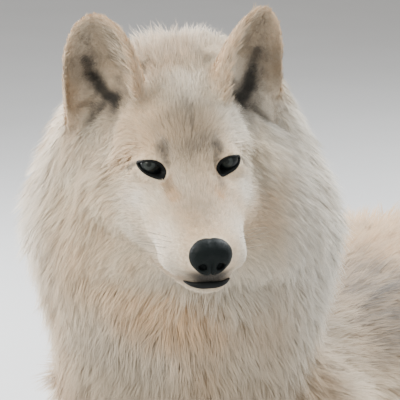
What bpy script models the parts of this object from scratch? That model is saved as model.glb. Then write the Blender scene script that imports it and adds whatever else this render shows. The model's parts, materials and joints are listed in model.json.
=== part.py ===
"""An arctic wolf lying at rest with its head raised, as a still life-size model.

Frame: metres, +Z up, the floor at Z = 0.  The trunk lies along Y with the chest towards -Y, and the
wolf's left side is +X.  The solids are the outline of the animal out to the tips of its coat.  All of
the flesh is modelled as rounded forms, joined into one body, and parted with thin cuts into the nodes
that a person would name.  Eyes, nose pad and claws are solids of their own, set into pockets.
"""

import math

import bmesh
import bpy
from mathutils import Matrix, Vector

# ---- Driving dimensions --------------------------------------------------------------------------
EYE_HEIGHT = 0.580  # floor to the level of the eyes, head raised
EYES_MIDDLE = Vector((0.090, -0.560, EYE_HEIGHT))  # the point midway between the two eyes
HEAD_TURN = math.radians(36.5)  # the head looks this far to the wolf's left
HEAD_NOD = math.radians(13.3)  # and this far down
HEAD_TILT = math.radians(1.2)  # and its left ear is a little the higher

EYEBALL_RADIUS = 0.0118
WITHERS_HEIGHT = 0.415
RUMP_HEIGHT = 0.368
CHEST_HALF_WIDTH = 0.182
FORELEG_OFFSET = 0.160  # middle plane to the forearm
HIND_FOOT_OFFSET = 0.215
TAIL_RADIUS = 0.063
FORE_TOES = (FORELEG_OFFSET * 0.88, -0.614, 0.0230)  # middle of the foot, toes and their spacing
HIND_TOES = (HIND_FOOT_OFFSET * 1.04, 0.076, 0.0215)
TOE_HEIGHT = 0.024
TOE_REACH = 0.030
TOE_FAN = 7.0  # degrees between neighbouring toes

PART_GAP = 0.0003  # clearance at every cut between two nodes
BODY_VOXEL = 0.0075
FACE_VOXEL = 0.0030
WHOLE_VOXEL = 0.0040
FLESH_TRIANGLES = 3340  # of the body before it is parted
DETAIL_FACTOR = 1.0  # how much more an edge of the head is worth than one of the trunk

COAT_COLOUR = (0.66, 0.58, 0.47, 1.0)
DARK_COLOUR = (0.012, 0.016, 0.018, 1.0)
EYE_COLOUR = (0.030, 0.034, 0.036, 1.0)
CLAW_COLOUR = (0.060, 0.050, 0.042, 1.0)

LEFT, RIGHT = 1, -1
SIDE_NAMES = {LEFT: "left", RIGHT: "right"}

HEAD_PLACE = (
    Matrix.Translation(EYES_MIDDLE)
    @ Matrix.Rotation(HEAD_TURN, 4, "Z")
    @ Matrix.Rotation(HEAD_NOD, 4, "X")
    @ Matrix.Rotation(-HEAD_TILT, 4, "Y")
)
EYE_CENTRE = Vector((0.0420, 0.0055, 0.0015))  # of the left eyeball, in the frame of the head
LID_DEPTH = 0.0035
EYE_INNER_CORNER = Vector((0.0302, -0.0190, -0.0030))
EYE_OUTER_CORNER = Vector((0.0552, 0.0092, 0.0027))
EYE_FACING = Vector((0.35, -0.93, 0.12))  # where the opening of the left lids faces
UPPER_LID_HEIGHT = 0.0103  # from the line between the corners
LOWER_LID_DROP = 0.0050
EYE_OPENING_DEPTH = 0.0090  # behind the line between the corners
LID_PEAK_SHIFT = 0.82  # under 1 moves the highest point of the lids towards the inner corner
LID_FULLNESS = 0.65  # under 1 rounds the ends of the opening, over 1 sharpens them
EYE_OPENING_STEPS = 6
NOSTRIL = Vector((0.0090, -0.1270, -0.0575))
NOSTRIL_RADII = (0.0045, 0.0060, 0.0036)
NOSTRIL_SLANT = 25  # degrees
MOUTH_PLACE = Matrix.Translation((0, -0.122, -0.078)) @ Matrix.Rotation(math.radians(-7.6), 4, "X")
EAR_BASE = Vector((0.079, 0.089, 0.0545))  # of the left ear, in the frame of the head
EAR_TIP = Vector((0.0935, 0.077, 0.1480))
EAR_ROOT = -0.45  # the ear goes on below its base by this share of its height, inside the head
EAR_END = 0.985  # and stops just short of its tip, which is round
EAR_HALF_WIDTH = 0.0445
EAR_DEPTH = 0.034
EAR_SHEET = 0.0065  # thickness of the ear with its short fur
EAR_SPLAY = math.radians(32)  # the opening faces this far outwards
EAR_ROWS, EAR_COLUMNS = 8, 10


# ---- Helpers -------------------------------------------------------------------------------------
def clear_scene():
    for obj in list(bpy.data.objects):
        bpy.data.objects.remove(obj)


def add_object(name, bm):
    """A new object that holds the bmesh."""
    mesh = bpy.data.meshes.new(name)
    bm.to_mesh(mesh)
    bm.free()
    obj = bpy.data.objects.new(name, mesh)
    bpy.context.scene.collection.objects.link(obj)
    return obj


def apply_modifiers(obj):
    """Replaces the object's mesh by what its modifiers make of it."""
    graph = bpy.context.evaluated_depsgraph_get()
    mesh = bpy.data.meshes.new_from_object(obj.evaluated_get(graph), depsgraph=graph)
    obj.modifiers.clear()
    obj.data = mesh
    return obj


def mirrored(point, side):
    return Vector((side * point[0], point[1], point[2]))


def ellipsoid(bm, centre, radii, turns=(0.0, 0.0, 0.0), place=Matrix.Identity(4), detail=4):
    """Adds an ellipsoid, turned in degrees about X, Y and Z and then placed."""
    rotation = Matrix.Identity(4)
    for axis, degrees in zip("XYZ", turns):
        rotation = Matrix.Rotation(math.radians(degrees), 4, axis) @ rotation
    matrix = place @ Matrix.Translation(centre) @ rotation @ Matrix.Diagonal((*radii, 1.0))
    bmesh.ops.create_icosphere(bm, subdivisions=detail, radius=1.0, matrix=matrix)


def pair_of_ellipsoids(bm, centre, radii, turns=(0.0, 0.0, 0.0), place=Matrix.Identity(4)):
    """The same ellipsoid on the left and, mirrored, on the right."""
    for side in (LEFT, RIGHT):
        side_turns = (turns[0], side * turns[1], side * turns[2])
        ellipsoid(bm, mirrored(centre, side), radii, side_turns, place)


def catmull_rom(before, start, end, after, t):
    """The value at t, from 0 at start to 1 at end, of the smooth curve through four even values."""
    slope = end - before
    bend = 2 * before - 5 * start + 4 * end - after
    turn = 3 * (start - end) + after - before
    return start + 0.5 * (slope * t + bend * t**2 + turn * t**3)


def smooth_stations(stations, steps):
    """Smooth values between the stations, for every number that a station holds."""
    ends = [stations[0], *stations, stations[-1]]
    made = []
    for four in zip(ends, ends[1:], ends[2:], ends[3:]):
        for step in range(steps):
            made.append(tuple(catmull_rom(*values, step / steps) for values in zip(*four)))
    return [*made, stations[-1]]


def loft(bm, stations, place=Matrix.Identity(4), power=2.0, level=False, steps=4, sides=32):
    """Adds a closed form threaded on a path.

    A station is (x, y, z, half width, rise, drop, turn): its centre, the half width to each side, how
    far it reaches above and below the path, and a turn of the ring in degrees about Z.  The rings are
    square to the path, or all level, and then the rise is forwards.  A power over 2 squares a ring.
    """
    rows = smooth_stations(stations, steps)
    centres = [Vector(row[:3]) for row in rows]
    rings = []
    for i, (row, centre) in enumerate(zip(rows, centres)):
        along = (centres[min(i + 1, len(rows) - 1)] - centres[max(i - 1, 0)]).normalized()
        half_width, rise, drop, turn = row[3:]
        side = Vector((1, 0, 0)) if level else along.cross(Vector((0, 0, 1))).normalized()
        up = Vector((0, -1, 0)) if level else side.cross(along).normalized()
        twist = Matrix.Rotation(math.radians(turn), 3, "Z")
        ring = []
        for k in range(sides):
            angle = 2 * math.pi * k / sides
            c, s = math.cos(angle), math.sin(angle)
            right = math.copysign(abs(c) ** (2 / power), c) * half_width
            above = math.copysign(abs(s) ** (2 / power), s) * (rise if s > 0 else drop)
            ring.append(bm.verts.new(place @ (centre + twist @ (side * right + up * above))))
        rings.append(ring)
    faces = [bm.faces.new(rings[0][::-1]), bm.faces.new(rings[-1])]
    for first, second in zip(rings, rings[1:]):
        for k in range(sides):
            n = (k + 1) % sides
            faces.append(bm.faces.new((first[k], first[n], second[n], second[k])))
    bmesh.ops.recalc_face_normals(bm, faces=faces)


def joined(name, objects, voxel, smoothing):
    """One closed body around all of the objects, which are used up, with its creases smoothed."""
    bm = bmesh.new()
    for obj in objects:
        bm.from_mesh(obj.data)
        bpy.data.objects.remove(obj)
    whole = add_object(name, bm)
    remesh = whole.modifiers.new("Join", "REMESH")
    remesh.mode = "VOXEL"
    remesh.voxel_size = voxel
    smooth = whole.modifiers.new("Soften", "SMOOTH")
    smooth.factor = 0.5
    smooth.iterations = smoothing
    return apply_modifiers(whole)


def boolean(target, cutter, operation):
    modifier = target.modifiers.new("Cut", "BOOLEAN")
    modifier.operation = operation
    modifier.solver = "EXACT"
    modifier.object = cutter
    apply_modifiers(target)


def grown(obj, distance):
    """A copy of the object with every face moved outwards by the distance."""
    bm = bmesh.new()
    bm.from_mesh(obj.data)
    bm.normal_update()
    moved = [(v, v.co + v.normal * distance * v.calc_shell_factor()) for v in bm.verts]
    for vertex, place in moved:
        vertex.co = place
    return add_object(obj.name + "_grown", bm)


def cut_with(target, cutter):
    """Takes the cutter away from the target and uses it up."""
    boolean(target, cutter, "DIFFERENCE")
    bpy.data.objects.remove(cutter)


def part_off(whole, region, name):
    """Cuts the region out of the whole as a node of its own, and leaves the gap between the two."""
    piece = bpy.data.objects.new(name, whole.data.copy())
    bpy.context.scene.collection.objects.link(piece)
    boolean(piece, region, "INTERSECT")
    cut_with(whole, grown(region, PART_GAP))
    bpy.data.objects.remove(region)
    return piece


def box(low, high, place=Matrix.Identity(4)):
    """A box between two corners, then placed."""
    low, high = Vector(low), Vector(high)
    size = high - low
    bm = bmesh.new()
    matrix = place @ Matrix.Translation((low + high) / 2) @ Matrix.Diagonal((*size, 1.0))
    bmesh.ops.create_cube(bm, size=1.0, matrix=matrix)
    return add_object("region", bm)


def beyond(point, direction, reach=1.5):
    """A large box that holds everything on the far side of a plane."""
    turn = Vector(direction).normalized().to_track_quat("Z", "Y").to_matrix().to_4x4()
    place = Matrix.Translation(point) @ turn
    return box((-reach, -reach, 0.0), (reach, reach, 2 * reach), place)


# ---- The trunk, neck, legs and tail --------------------------------------------------------------
def trunk_form():
    """Chest, barrel and rump: the back falls from the withers to the rump, the belly is on the floor."""
    bm = bmesh.new()
    middle = 0.200
    stations = [
        (0.0, -0.435, middle, 0.085, 0.100, 0.130, 0),
        (0.0, -0.380, middle, 0.145, 0.165, 0.190, 0),
        (0.0, -0.280, middle, CHEST_HALF_WIDTH, WITHERS_HEIGHT - middle, 0.205, 0),
        (0.0, -0.120, middle, CHEST_HALF_WIDTH, 0.205, 0.206, 0),
        (0.0, 0.050, middle, 0.172, 0.196, 0.206, 0),
        (0.0, 0.200, middle, 0.158, 0.185, 0.205, 0),
        (0.0, 0.330, middle, 0.148, RUMP_HEIGHT - middle, 0.200, 0),
        (0.0, 0.430, 0.180, 0.112, 0.130, 0.176, 0),
        (0.0, 0.480, 0.165, 0.050, 0.060, 0.090, 0),
    ]
    loft(bm, stations, power=2.25)
    return add_object("trunk_form", bm)


def neck_form():
    """The neck with its mane, a thick collar that is widest below the cheeks and runs into the chest."""
    bm = bmesh.new()
    stations = [
        (0.020, -0.440, 0.712, 0.030, 0.020, 0.030, 34),
        (0.020, -0.440, 0.700, 0.072, 0.045, 0.065, 34),
        (0.020, -0.440, 0.665, 0.112, 0.070, 0.100, 34),
        (0.020, -0.440, 0.610, 0.144, 0.095, 0.130, 30),
        (0.021, -0.440, 0.550, 0.173, 0.112, 0.158, 27),
        (0.022, -0.435, 0.490, 0.189, 0.128, 0.190, 25),
        (0.021, -0.430, 0.425, 0.174, 0.136, 0.215, 24),
        (0.016, -0.420, 0.350, 0.155, 0.134, 0.230, 16),
        (0.008, -0.405, 0.270, 0.150, 0.124, 0.230, 6),
        (0.000, -0.385, 0.180, 0.152, 0.100, 0.210, 0),
        (0.000, -0.360, 0.100, 0.125, 0.070, 0.180, 0),
        (0.000, -0.340, 0.050, 0.090, 0.040, 0.150, 0),
    ]
    loft(bm, stations, level=True)
    return add_object("neck_form", bm)


def foreleg_form(side):
    """Shoulder and upper arm down to the elbow, and the forearm stretched forwards on the floor."""
    bm = bmesh.new()
    x = side * FORELEG_OFFSET
    upper_arm = [
        (x * 0.78, -0.380, 0.300, 0.050, 0.065, 0.060, 0),
        (x * 0.88, -0.330, 0.230, 0.062, 0.085, 0.080, 0),
        (x * 0.97, -0.265, 0.145, 0.060, 0.078, 0.075, 0),
        (x * 1.03, -0.205, 0.078, 0.052, 0.060, 0.060, 0),
        (x * 1.03, -0.175, 0.050, 0.030, 0.035, 0.040, 0),
    ]
    forearm = [
        (x * 1.02, -0.190, 0.060, 0.044, 0.050, 0.058, 0),
        (x * 1.00, -0.290, 0.055, 0.046, 0.050, 0.058, 0),
        (x * 0.95, -0.390, 0.046, 0.039, 0.042, 0.050, 0),
        (x * 0.91, -0.470, 0.040, 0.035, 0.036, 0.044, 0),
        (x * 0.89, -0.530, 0.039, 0.041, 0.036, 0.042, 0),
        (x * 0.88, -0.580, 0.035, 0.046, 0.034, 0.038, 0),
        (x * 0.88, -0.612, 0.030, 0.040, 0.024, 0.032, 0),
    ]
    loft(bm, upper_arm)
    loft(bm, forearm)
    return add_object("foreleg_form", bm)


def hind_leg_form(side):
    """The haunch folded against the flank, the shank along it and the foot forwards on the floor."""
    bm = bmesh.new()
    haunch_centre = (side * 0.125, 0.305, 0.175)
    ellipsoid(bm, haunch_centre, (0.090, 0.140, 0.150), (0, -side * 8, 0))
    thigh = [
        (side * 0.110, 0.350, 0.230, 0.065, 0.085, 0.090, 0),
        (side * 0.150, 0.265, 0.185, 0.068, 0.100, 0.110, 0),
        (side * 0.175, 0.185, 0.140, 0.060, 0.088, 0.100, 0),
        (side * 0.185, 0.120, 0.105, 0.050, 0.066, 0.085, 0),
        (side * 0.187, 0.085, 0.085, 0.026, 0.034, 0.050, 0),
    ]
    x = side * HIND_FOOT_OFFSET
    foot = [
        (x * 0.94, 0.402, 0.040, 0.020, 0.026, 0.034, 0),
        (x * 0.95, 0.370, 0.040, 0.029, 0.036, 0.044, 0),
        (x * 0.97, 0.300, 0.036, 0.028, 0.033, 0.040, 0),
        (x * 1.00, 0.220, 0.034, 0.029, 0.031, 0.038, 0),
        (x * 1.03, 0.150, 0.035, 0.039, 0.033, 0.038, 0),
        (x * 1.04, 0.105, 0.032, 0.044, 0.032, 0.036, 0),
        (x * 1.04, 0.075, 0.028, 0.038, 0.023, 0.030, 0),
    ]
    shank = [
        (side * 0.180, 0.140, 0.085, 0.040, 0.050, 0.050, 0),
        (side * 0.190, 0.250, 0.075, 0.045, 0.060, 0.055, 0),
        (side * 0.198, 0.340, 0.060, 0.038, 0.050, 0.045, 0),
        (side * 0.200, 0.385, 0.048, 0.025, 0.035, 0.035, 0),
    ]
    for stations in (thigh, foot, shank):
        loft(bm, stations)
    return add_object("hind_leg_form", bm)


def toe_centres(side, x, y, spread):
    """The middles of four toes: the two inner ones are furthest forwards."""
    for place in (-1.5, -0.5, 0.5, 1.5):
        forwards = 0.006 if abs(place) < 1 else -0.008
        yield Vector((side * (x + place * spread), y - forwards, TOE_HEIGHT)), side * place * TOE_FAN


def toes(side, foot):
    bm = bmesh.new()
    for centre, turn in toe_centres(side, *foot):
        ellipsoid(bm, centre, (0.0135, TOE_REACH, 0.023), (0, 0, turn))
    return add_object("toes", bm)


def claw(centre, turn, name):
    """A blunt claw that leaves the end of its toe forwards and turns down, clear of the floor."""
    place = Matrix.Translation(centre) @ Matrix.Rotation(math.radians(turn), 4, "Z")
    bm = bmesh.new()
    stations = [
        (0, -TOE_REACH + 0.014, 0.000, 0.0036, 0.0042, 0.0042, 0),
        (0, -TOE_REACH - 0.001, -0.001, 0.0034, 0.0040, 0.0040, 0),
        (0, -TOE_REACH - 0.009, -0.007, 0.0024, 0.0028, 0.0028, 0),
        (0, -TOE_REACH - 0.014, -0.015, 0.0009, 0.0011, 0.0011, 0),
    ]
    loft(bm, stations, place, steps=1, sides=5)
    return add_object(name, bm)


def tail_form():
    """The brush of the tail, down from the rump and round on the floor to the wolf's left."""
    bm = bmesh.new()
    r = TAIL_RADIUS
    stations = [
        (0.000, 0.430, 0.260, 0.75 * r, 0.70 * r, 0.70 * r, 0),
        (0.000, 0.490, 0.200, 0.85 * r, 0.80 * r, 0.80 * r, 0),
        (0.020, 0.548, 0.125, 0.95 * r, 0.92 * r, 0.92 * r, 0),
        (0.080, 0.592, 0.075, 1.02 * r, 0.98 * r, 1.08 * r, 0),
        (0.165, 0.590, 0.062, 1.02 * r, 0.95 * r, 1.05 * r, 0),
        (0.240, 0.545, 0.054, 0.88 * r, 0.82 * r, 0.92 * r, 0),
        (0.285, 0.485, 0.042, 0.60 * r, 0.55 * r, 0.72 * r, 0),
        (0.305, 0.440, 0.026, 0.18 * r, 0.18 * r, 0.36 * r, 0),
    ]
    loft(bm, stations)
    return add_object("tail_form", bm)


# ---- The head, in its own frame: X to the wolf's left, Y backwards, Z up, 0 between the eyes -------
def head_form():
    """Muzzle, forehead and braincase in one sweep, with the brows, the lids and the fur of the cheeks."""
    bm = bmesh.new()
    skull = [
        (0, -0.1230, -0.0540, 0.0230, 0.0170, 0.0190, 0),
        (0, -0.1140, -0.0550, 0.0330, 0.0235, 0.0250, 0),
        (0, -0.0950, -0.0550, 0.0405, 0.0280, 0.0300, 0),
        (0, -0.0700, -0.0540, 0.0455, 0.0340, 0.0345, 0),
        (0, -0.0400, -0.0510, 0.0525, 0.0410, 0.0390, 0),
        (0, -0.0150, -0.0440, 0.0600, 0.0450, 0.0460, 0),
        (0, 0.0050, -0.0372, 0.0660, 0.0510, 0.0520, 0),
        (0, 0.0300, -0.0272, 0.0740, 0.0610, 0.0620, 0),
        (0, 0.0600, -0.0144, 0.0800, 0.0690, 0.0740, 0),
        (0, 0.0950, -0.0038, 0.0840, 0.0760, 0.0840, 0),
        (0, 0.1300, -0.0002, 0.0800, 0.0790, 0.0800, 0),
        (0, 0.1600, -0.0014, 0.0600, 0.0600, 0.0600, 0),
    ]
    cheek_fur = [
        (0, -0.0500, -0.0580, 0.0350, 0.0200, 0.0260, 0),
        (0, -0.0200, -0.0560, 0.0620, 0.0380, 0.0420, 0),
        (0, 0.0100, -0.0544, 0.0800, 0.0500, 0.0560, 0),
        (0, 0.0400, -0.0536, 0.0990, 0.0680, 0.0740, 0),
        (0, 0.0700, -0.0518, 0.1190, 0.0880, 0.0920, 0),
        (0, 0.0980, -0.0489, 0.1360, 0.1030, 0.1100, 0),
        (0, 0.1260, -0.0430, 0.1440, 0.1120, 0.1200, 0),
        (0, 0.1600, -0.0364, 0.1250, 0.1000, 0.1100, 0),
    ]
    loft(bm, skull, HEAD_PLACE, power=2.15)
    loft(bm, cheek_fur, HEAD_PLACE)
    pair_of_ellipsoids(bm, (0.037, 0.019, 0.007), (0.025, 0.021, 0.014), (0, 18, 25), HEAD_PLACE)
    pair_of_ellipsoids(bm, (0.026, -0.066, -0.066), (0.021, 0.042, 0.023), (0, 0, 12), HEAD_PLACE)
    pair_of_ellipsoids(bm, EYE_CENTRE, (EYEBALL_RADIUS + LID_DEPTH,) * 3, place=HEAD_PLACE)
    return add_object("head_form", bm)


def jaw_form():
    """The lower jaw, a little narrower than the lips above it."""
    bm = bmesh.new()
    jaw = [
        (0, -0.1150, -0.0860, 0.0130, 0.0060, 0.0080, 0),
        (0, -0.1080, -0.0875, 0.0225, 0.0100, 0.0125, 0),
        (0, -0.0850, -0.0900, 0.0290, 0.0120, 0.0150, 0),
        (0, -0.0550, -0.0940, 0.0350, 0.0160, 0.0180, 0),
        (0, -0.0250, -0.0950, 0.0410, 0.0220, 0.0240, 0),
        (0, 0.0150, -0.0880, 0.0480, 0.0300, 0.0320, 0),
        (0, 0.0500, -0.0750, 0.0500, 0.0300, 0.0300, 0),
    ]
    loft(bm, jaw, HEAD_PLACE, power=2.3)
    return add_object("jaw_form", bm)


def ear_form(side):
    """A cupped sheet rolled round the ear's opening, open towards the front and a little outwards."""
    axis = EAR_TIP - EAR_BASE
    opening = Matrix.Rotation(EAR_SPLAY, 3, "Z") @ Vector((0, -1, 0))
    across = opening.cross(axis).normalized()
    front = axis.cross(across).normalized()
    bm = bmesh.new()
    grid = []
    for i in range(EAR_ROWS + 1):
        v = EAR_ROOT + (EAR_END - EAR_ROOT) * i / EAR_ROWS
        width = EAR_HALF_WIDTH * (1 - v) ** 0.50 * (1 + 0.45 * v) + 0.001
        depth = EAR_DEPTH * (1 - v) ** 0.8 + 0.002
        roll = math.radians(116 - 30 * max(v, 0))
        middle = EAR_BASE + axis * v
        row = []
        for j in range(EAR_COLUMNS + 1):
            angle = roll * (2 * j / EAR_COLUMNS - 1)
            point = middle + across * width * math.sin(angle) - front * depth * math.cos(angle)
            row.append(bm.verts.new(HEAD_PLACE @ mirrored(point, side)))
        grid.append(row)
    for below, above in zip(grid, grid[1:]):
        for j in range(EAR_COLUMNS):
            bm.faces.new((below[j], below[j + 1], above[j + 1], above[j]))
    bmesh.ops.recalc_face_normals(bm, faces=bm.faces)
    ear = add_object(f"ear_{SIDE_NAMES[side]}", bm)
    thick = ear.modifiers.new("Thickness", "SOLIDIFY")
    thick.thickness = EAR_SHEET
    thick.offset = 0.0
    return apply_modifiers(ear)


def nose_form():
    """The nose pad: a rounded square, narrower below, with a pit for each nostril."""
    bm = bmesh.new()
    stations = [
        (0, -0.1030, -0.0500, 0.0190, 0.0130, 0.0150, 0),
        (0, -0.1140, -0.0505, 0.0236, 0.0188, 0.0195, 0),
        (0, -0.1210, -0.0510, 0.0230, 0.0180, 0.0195, 0),
        (0, -0.1265, -0.0515, 0.0190, 0.0140, 0.0165, 0),
        (0, -0.1290, -0.0520, 0.0120, 0.0075, 0.0100, 0),
    ]
    loft(bm, stations, HEAD_PLACE, power=2.5, steps=1, sides=18)
    nose = add_object("nose", bm)
    for side in (LEFT, RIGHT):
        bm = bmesh.new()
        slant = (0, side * NOSTRIL_SLANT, 0)
        ellipsoid(bm, mirrored(NOSTRIL, side), NOSTRIL_RADII, slant, HEAD_PLACE, detail=1)
        cut_with(nose, add_object("nostril", bm))
    return nose


def eye_node(side, head):
    """An eyeball in its socket, seen through a slanting opening between the lids."""
    centre = mirrored(EYE_CENTRE, side)
    matrix = HEAD_PLACE @ Matrix.Translation(centre)
    for growth, name in ((PART_GAP, "socket"), (0.0, f"eye_{SIDE_NAMES[side]}")):
        bm = bmesh.new()
        radius = EYEBALL_RADIUS + growth
        bmesh.ops.create_uvsphere(bm, u_segments=12, v_segments=8, radius=radius, matrix=matrix)
        ball = add_object(name, bm)
        if growth:
            cut_with(head, ball)
    inner, outer = mirrored(EYE_INNER_CORNER, side), mirrored(EYE_OUTER_CORNER, side)
    line = outer - inner
    ahead = mirrored(EYE_FACING, side).normalized()
    upwards = line.cross(ahead).normalized() * -side
    bm = bmesh.new()
    ring = []
    for k in range(2 * EYE_OPENING_STEPS):
        upper = k <= EYE_OPENING_STEPS
        t = k / EYE_OPENING_STEPS if upper else 2 - k / EYE_OPENING_STEPS
        swell = abs(math.sin(math.pi * t**LID_PEAK_SHIFT)) ** LID_FULLNESS
        ring.append(inner + line * t + upwards * swell * (UPPER_LID_HEIGHT if upper else -LOWER_LID_DROP))
    back = [bm.verts.new(HEAD_PLACE @ (point - ahead * EYE_OPENING_DEPTH)) for point in ring]
    front = [bm.verts.new(HEAD_PLACE @ (point + ahead * 0.025)) for point in ring]
    faces = [bm.faces.new(back), bm.faces.new(front)]
    for k, lower in enumerate(back):
        n = (k + 1) % len(back)
        faces.append(bm.faces.new((lower, back[n], front[n], front[k])))
    bmesh.ops.recalc_face_normals(bm, faces=faces)
    cut_with(head, add_object("opening", bm))
    return ball


# ---- Assembly ------------------------------------------------------------------------------------
def whole_wolf():
    """All of the flesh as one closed body, with small flats where it rests on the floor."""
    soft = [trunk_form(), neck_form(), tail_form()]
    for side in (LEFT, RIGHT):
        soft += [foreleg_form(side), hind_leg_form(side)]
    body = joined("body", soft, BODY_VOXEL, smoothing=10)
    face = joined("face", [head_form()], FACE_VOXEL, smoothing=20)
    jaw = joined("jaw", [jaw_form()], FACE_VOXEL, smoothing=3)
    fine = [body, face, jaw]
    for side in (LEFT, RIGHT):
        fine += [toes(side, FORE_TOES), toes(side, HIND_TOES)]
    whole = joined("whole", fine, WHOLE_VOXEL, smoothing=4)
    thin_out(whole)
    cut_with(whole, box((-1.0, -1.5, -0.2), (1.0, 1.5, 0.0)))
    return whole


def thin_out(whole):
    """Fewer triangles, and most of them kept in the head and the feet."""
    group = whole.vertex_groups.new(name="Plain")
    levels = {0.1: [], 0.75: [], 1.0: []}
    for vertex in whole.data.vertices:
        near_face = (vertex.co - EYES_MIDDLE).length < 0.17
        in_foot = vertex.co.z < 0.08 and abs(vertex.co.x) > 0.08
        levels[0.1 if near_face else 0.75 if in_foot else 1.0].append(vertex.index)
    for weight, indices in levels.items():
        group.add(indices, weight, "REPLACE")
    thin = whole.modifiers.new("Thin", "DECIMATE")
    thin.ratio = FLESH_TRIANGLES / (2 * len(whole.data.polygons))
    thin.vertex_group = group.name
    thin.vertex_group_factor = DETAIL_FACTOR
    apply_modifiers(whole)
    whole.vertex_groups.clear()


def regions():
    """Where the whole is cut: a name and the closed region that holds that node, in cutting order."""
    yield "head", box((-0.25, -0.20, -0.126), (0.25, 0.115, 0.20), HEAD_PLACE)
    yield "neck", beyond((0, -0.27, 0.43), (0, -0.37, 0.93))
    for side in (LEFT, RIGHT):
        name = SIDE_NAMES[side]
        yield f"forepaw_{name}", side_box(side, (0.05, -0.70, -0.01), (0.26, -0.535, 0.12))
        yield f"forearm_{name}", side_box(side, (0.085, -0.535, -0.01), (0.26, -0.300, 0.112))
        yield f"foreleg_upper_{name}", side_box(side, (0.118, -0.420, -0.01), (0.30, -0.130, 0.275))
        yield f"hindfoot_{name}", side_box(side, (0.165, 0.00, -0.01), (0.32, 0.445, 0.072))
        yield f"thigh_{name}", side_box(side, (0.105, 0.040, -0.01), (0.32, 0.455, 0.345))
    yield "tail_base", box((-0.20, 0.468, -0.01), (0.100, 0.75, 0.40))
    yield "tail_end", box((0.100, 0.40, -0.01), (0.45, 0.75, 0.20))
    yield "chest", beyond((0, -0.09, 0.2), (0, -1, 0))
    yield "rump", beyond((0, 0.15, 0.2), (0, 1, 0))


def side_box(side, low, high):
    """A box given for the left side, or its mirror image on the right."""
    if side == LEFT:
        return box(low, high)
    return box((-high[0], *low[1:]), (-low[0], *high[1:]))


def material(name, colour, roughness):
    made = bpy.data.materials.new(name)
    made.use_nodes = True
    shader = made.node_tree.nodes["Principled BSDF"]
    shader.inputs["Base Color"].default_value = colour
    shader.inputs["Roughness"].default_value = roughness
    shader.inputs["Metallic"].default_value = 0.0
    made.diffuse_color = colour
    return made


def main():
    clear_scene()
    whole = whole_wolf()
    skin = grown(whole, PART_GAP)
    flesh = []
    for side in (LEFT, RIGHT):
        ear = ear_form(side)
        boolean(ear, skin, "DIFFERENCE")
        flesh.append(ear)
    bpy.data.objects.remove(skin)
    nodes = {name: part_off(whole, region, name) for name, region in regions()}
    whole.name = "barrel"
    head = nodes["head"]
    jaw_region = box((-0.08, -0.030, -0.06), (0.08, 0.086, 0.0), HEAD_PLACE @ MOUTH_PLACE)
    nodes["lower_jaw"] = part_off(head, jaw_region, "lower_jaw")
    flesh += [whole, *nodes.values()]
    nose = nose_form()
    cut_with(head, grown(nose, PART_GAP))
    eyes = [eye_node(side, head) for side in (LEFT, RIGHT)]
    claws = []
    for side in (LEFT, RIGHT):
        for foot, paw in ((FORE_TOES, "forepaw"), (HIND_TOES, "hindfoot")):
            for number, (centre, turn) in enumerate(toe_centres(side, *foot), 1):
                made = claw(centre, turn, f"claw_{paw}_{SIDE_NAMES[side]}_{number}")
                cut_with(nodes[f"{paw}_{SIDE_NAMES[side]}"], grown(made, PART_GAP))
                claws.append(made)
    groups = (
        (flesh, material("coat", COAT_COLOUR, 0.9)),
        ([nose], material("nose_leather", DARK_COLOUR, 0.45)),
        (eyes, material("eye", EYE_COLOUR, 0.08)),
        (claws, material("claw", CLAW_COLOUR, 0.5)),
    )
    for nodes_made, made_of in groups:
        for node in nodes_made:
            keep_main_body(node)
            node.data.name = node.name
            node.data.materials.clear()
            node.data.materials.append(made_of)
    centre_on_floor([node for nodes_made, _ in groups for node in nodes_made])


def keep_main_body(node):
    """Removes any crumb that a cut has left beside the node, and makes every face a triangle."""
    bm = bmesh.new()
    bm.from_mesh(node.data)
    bmesh.ops.triangulate(bm, faces=bm.faces)
    unseen = set(bm.verts)
    bodies = []
    while unseen:
        body = {unseen.pop()}
        front = set(body)
        while front:
            front = {edge.other_vert(v) for v in front for edge in v.link_edges} & unseen
            unseen -= front
            body |= front
        bodies.append(body)
    bodies.sort(key=len)
    for body in bodies[:-1]:
        bmesh.ops.delete(bm, geom=list(body), context="VERTS")
    bm.to_mesh(node.data)
    bm.free()


def centre_on_floor(nodes):
    """Moves every node so that the bottom centre of the whole is the origin."""
    corners = [vertex.co for node in nodes for vertex in node.data.vertices]
    low = Vector(min(corner[axis] for corner in corners) for axis in range(3))
    high = Vector(max(corner[axis] for corner in corners) for axis in range(3))
    shift = Matrix.Translation((-(low.x + high.x) / 2, -(low.y + high.y) / 2, -low.z))
    for node in nodes:
        node.data.transform(shift)


main()
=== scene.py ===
# %% [markdown]
# An arctic wolf at rest: it lies on its belly with its head up and turned to its left. This file
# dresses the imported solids, which are the outline of the coat. Nothing here moves or resizes them.
# In life the look of such an animal is made by three layers: skin, a dense soft coat over it, and
# the few bare parts, which are the eyes, the lids, the nose and the lips. They are made in that order.

import json
import math

import bmesh
import bpy
import numpy as np
from mathutils import Matrix, Vector, noise
from mathutils.bvhtree import BVHTree
from mathutils.kdtree import KDTree

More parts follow.
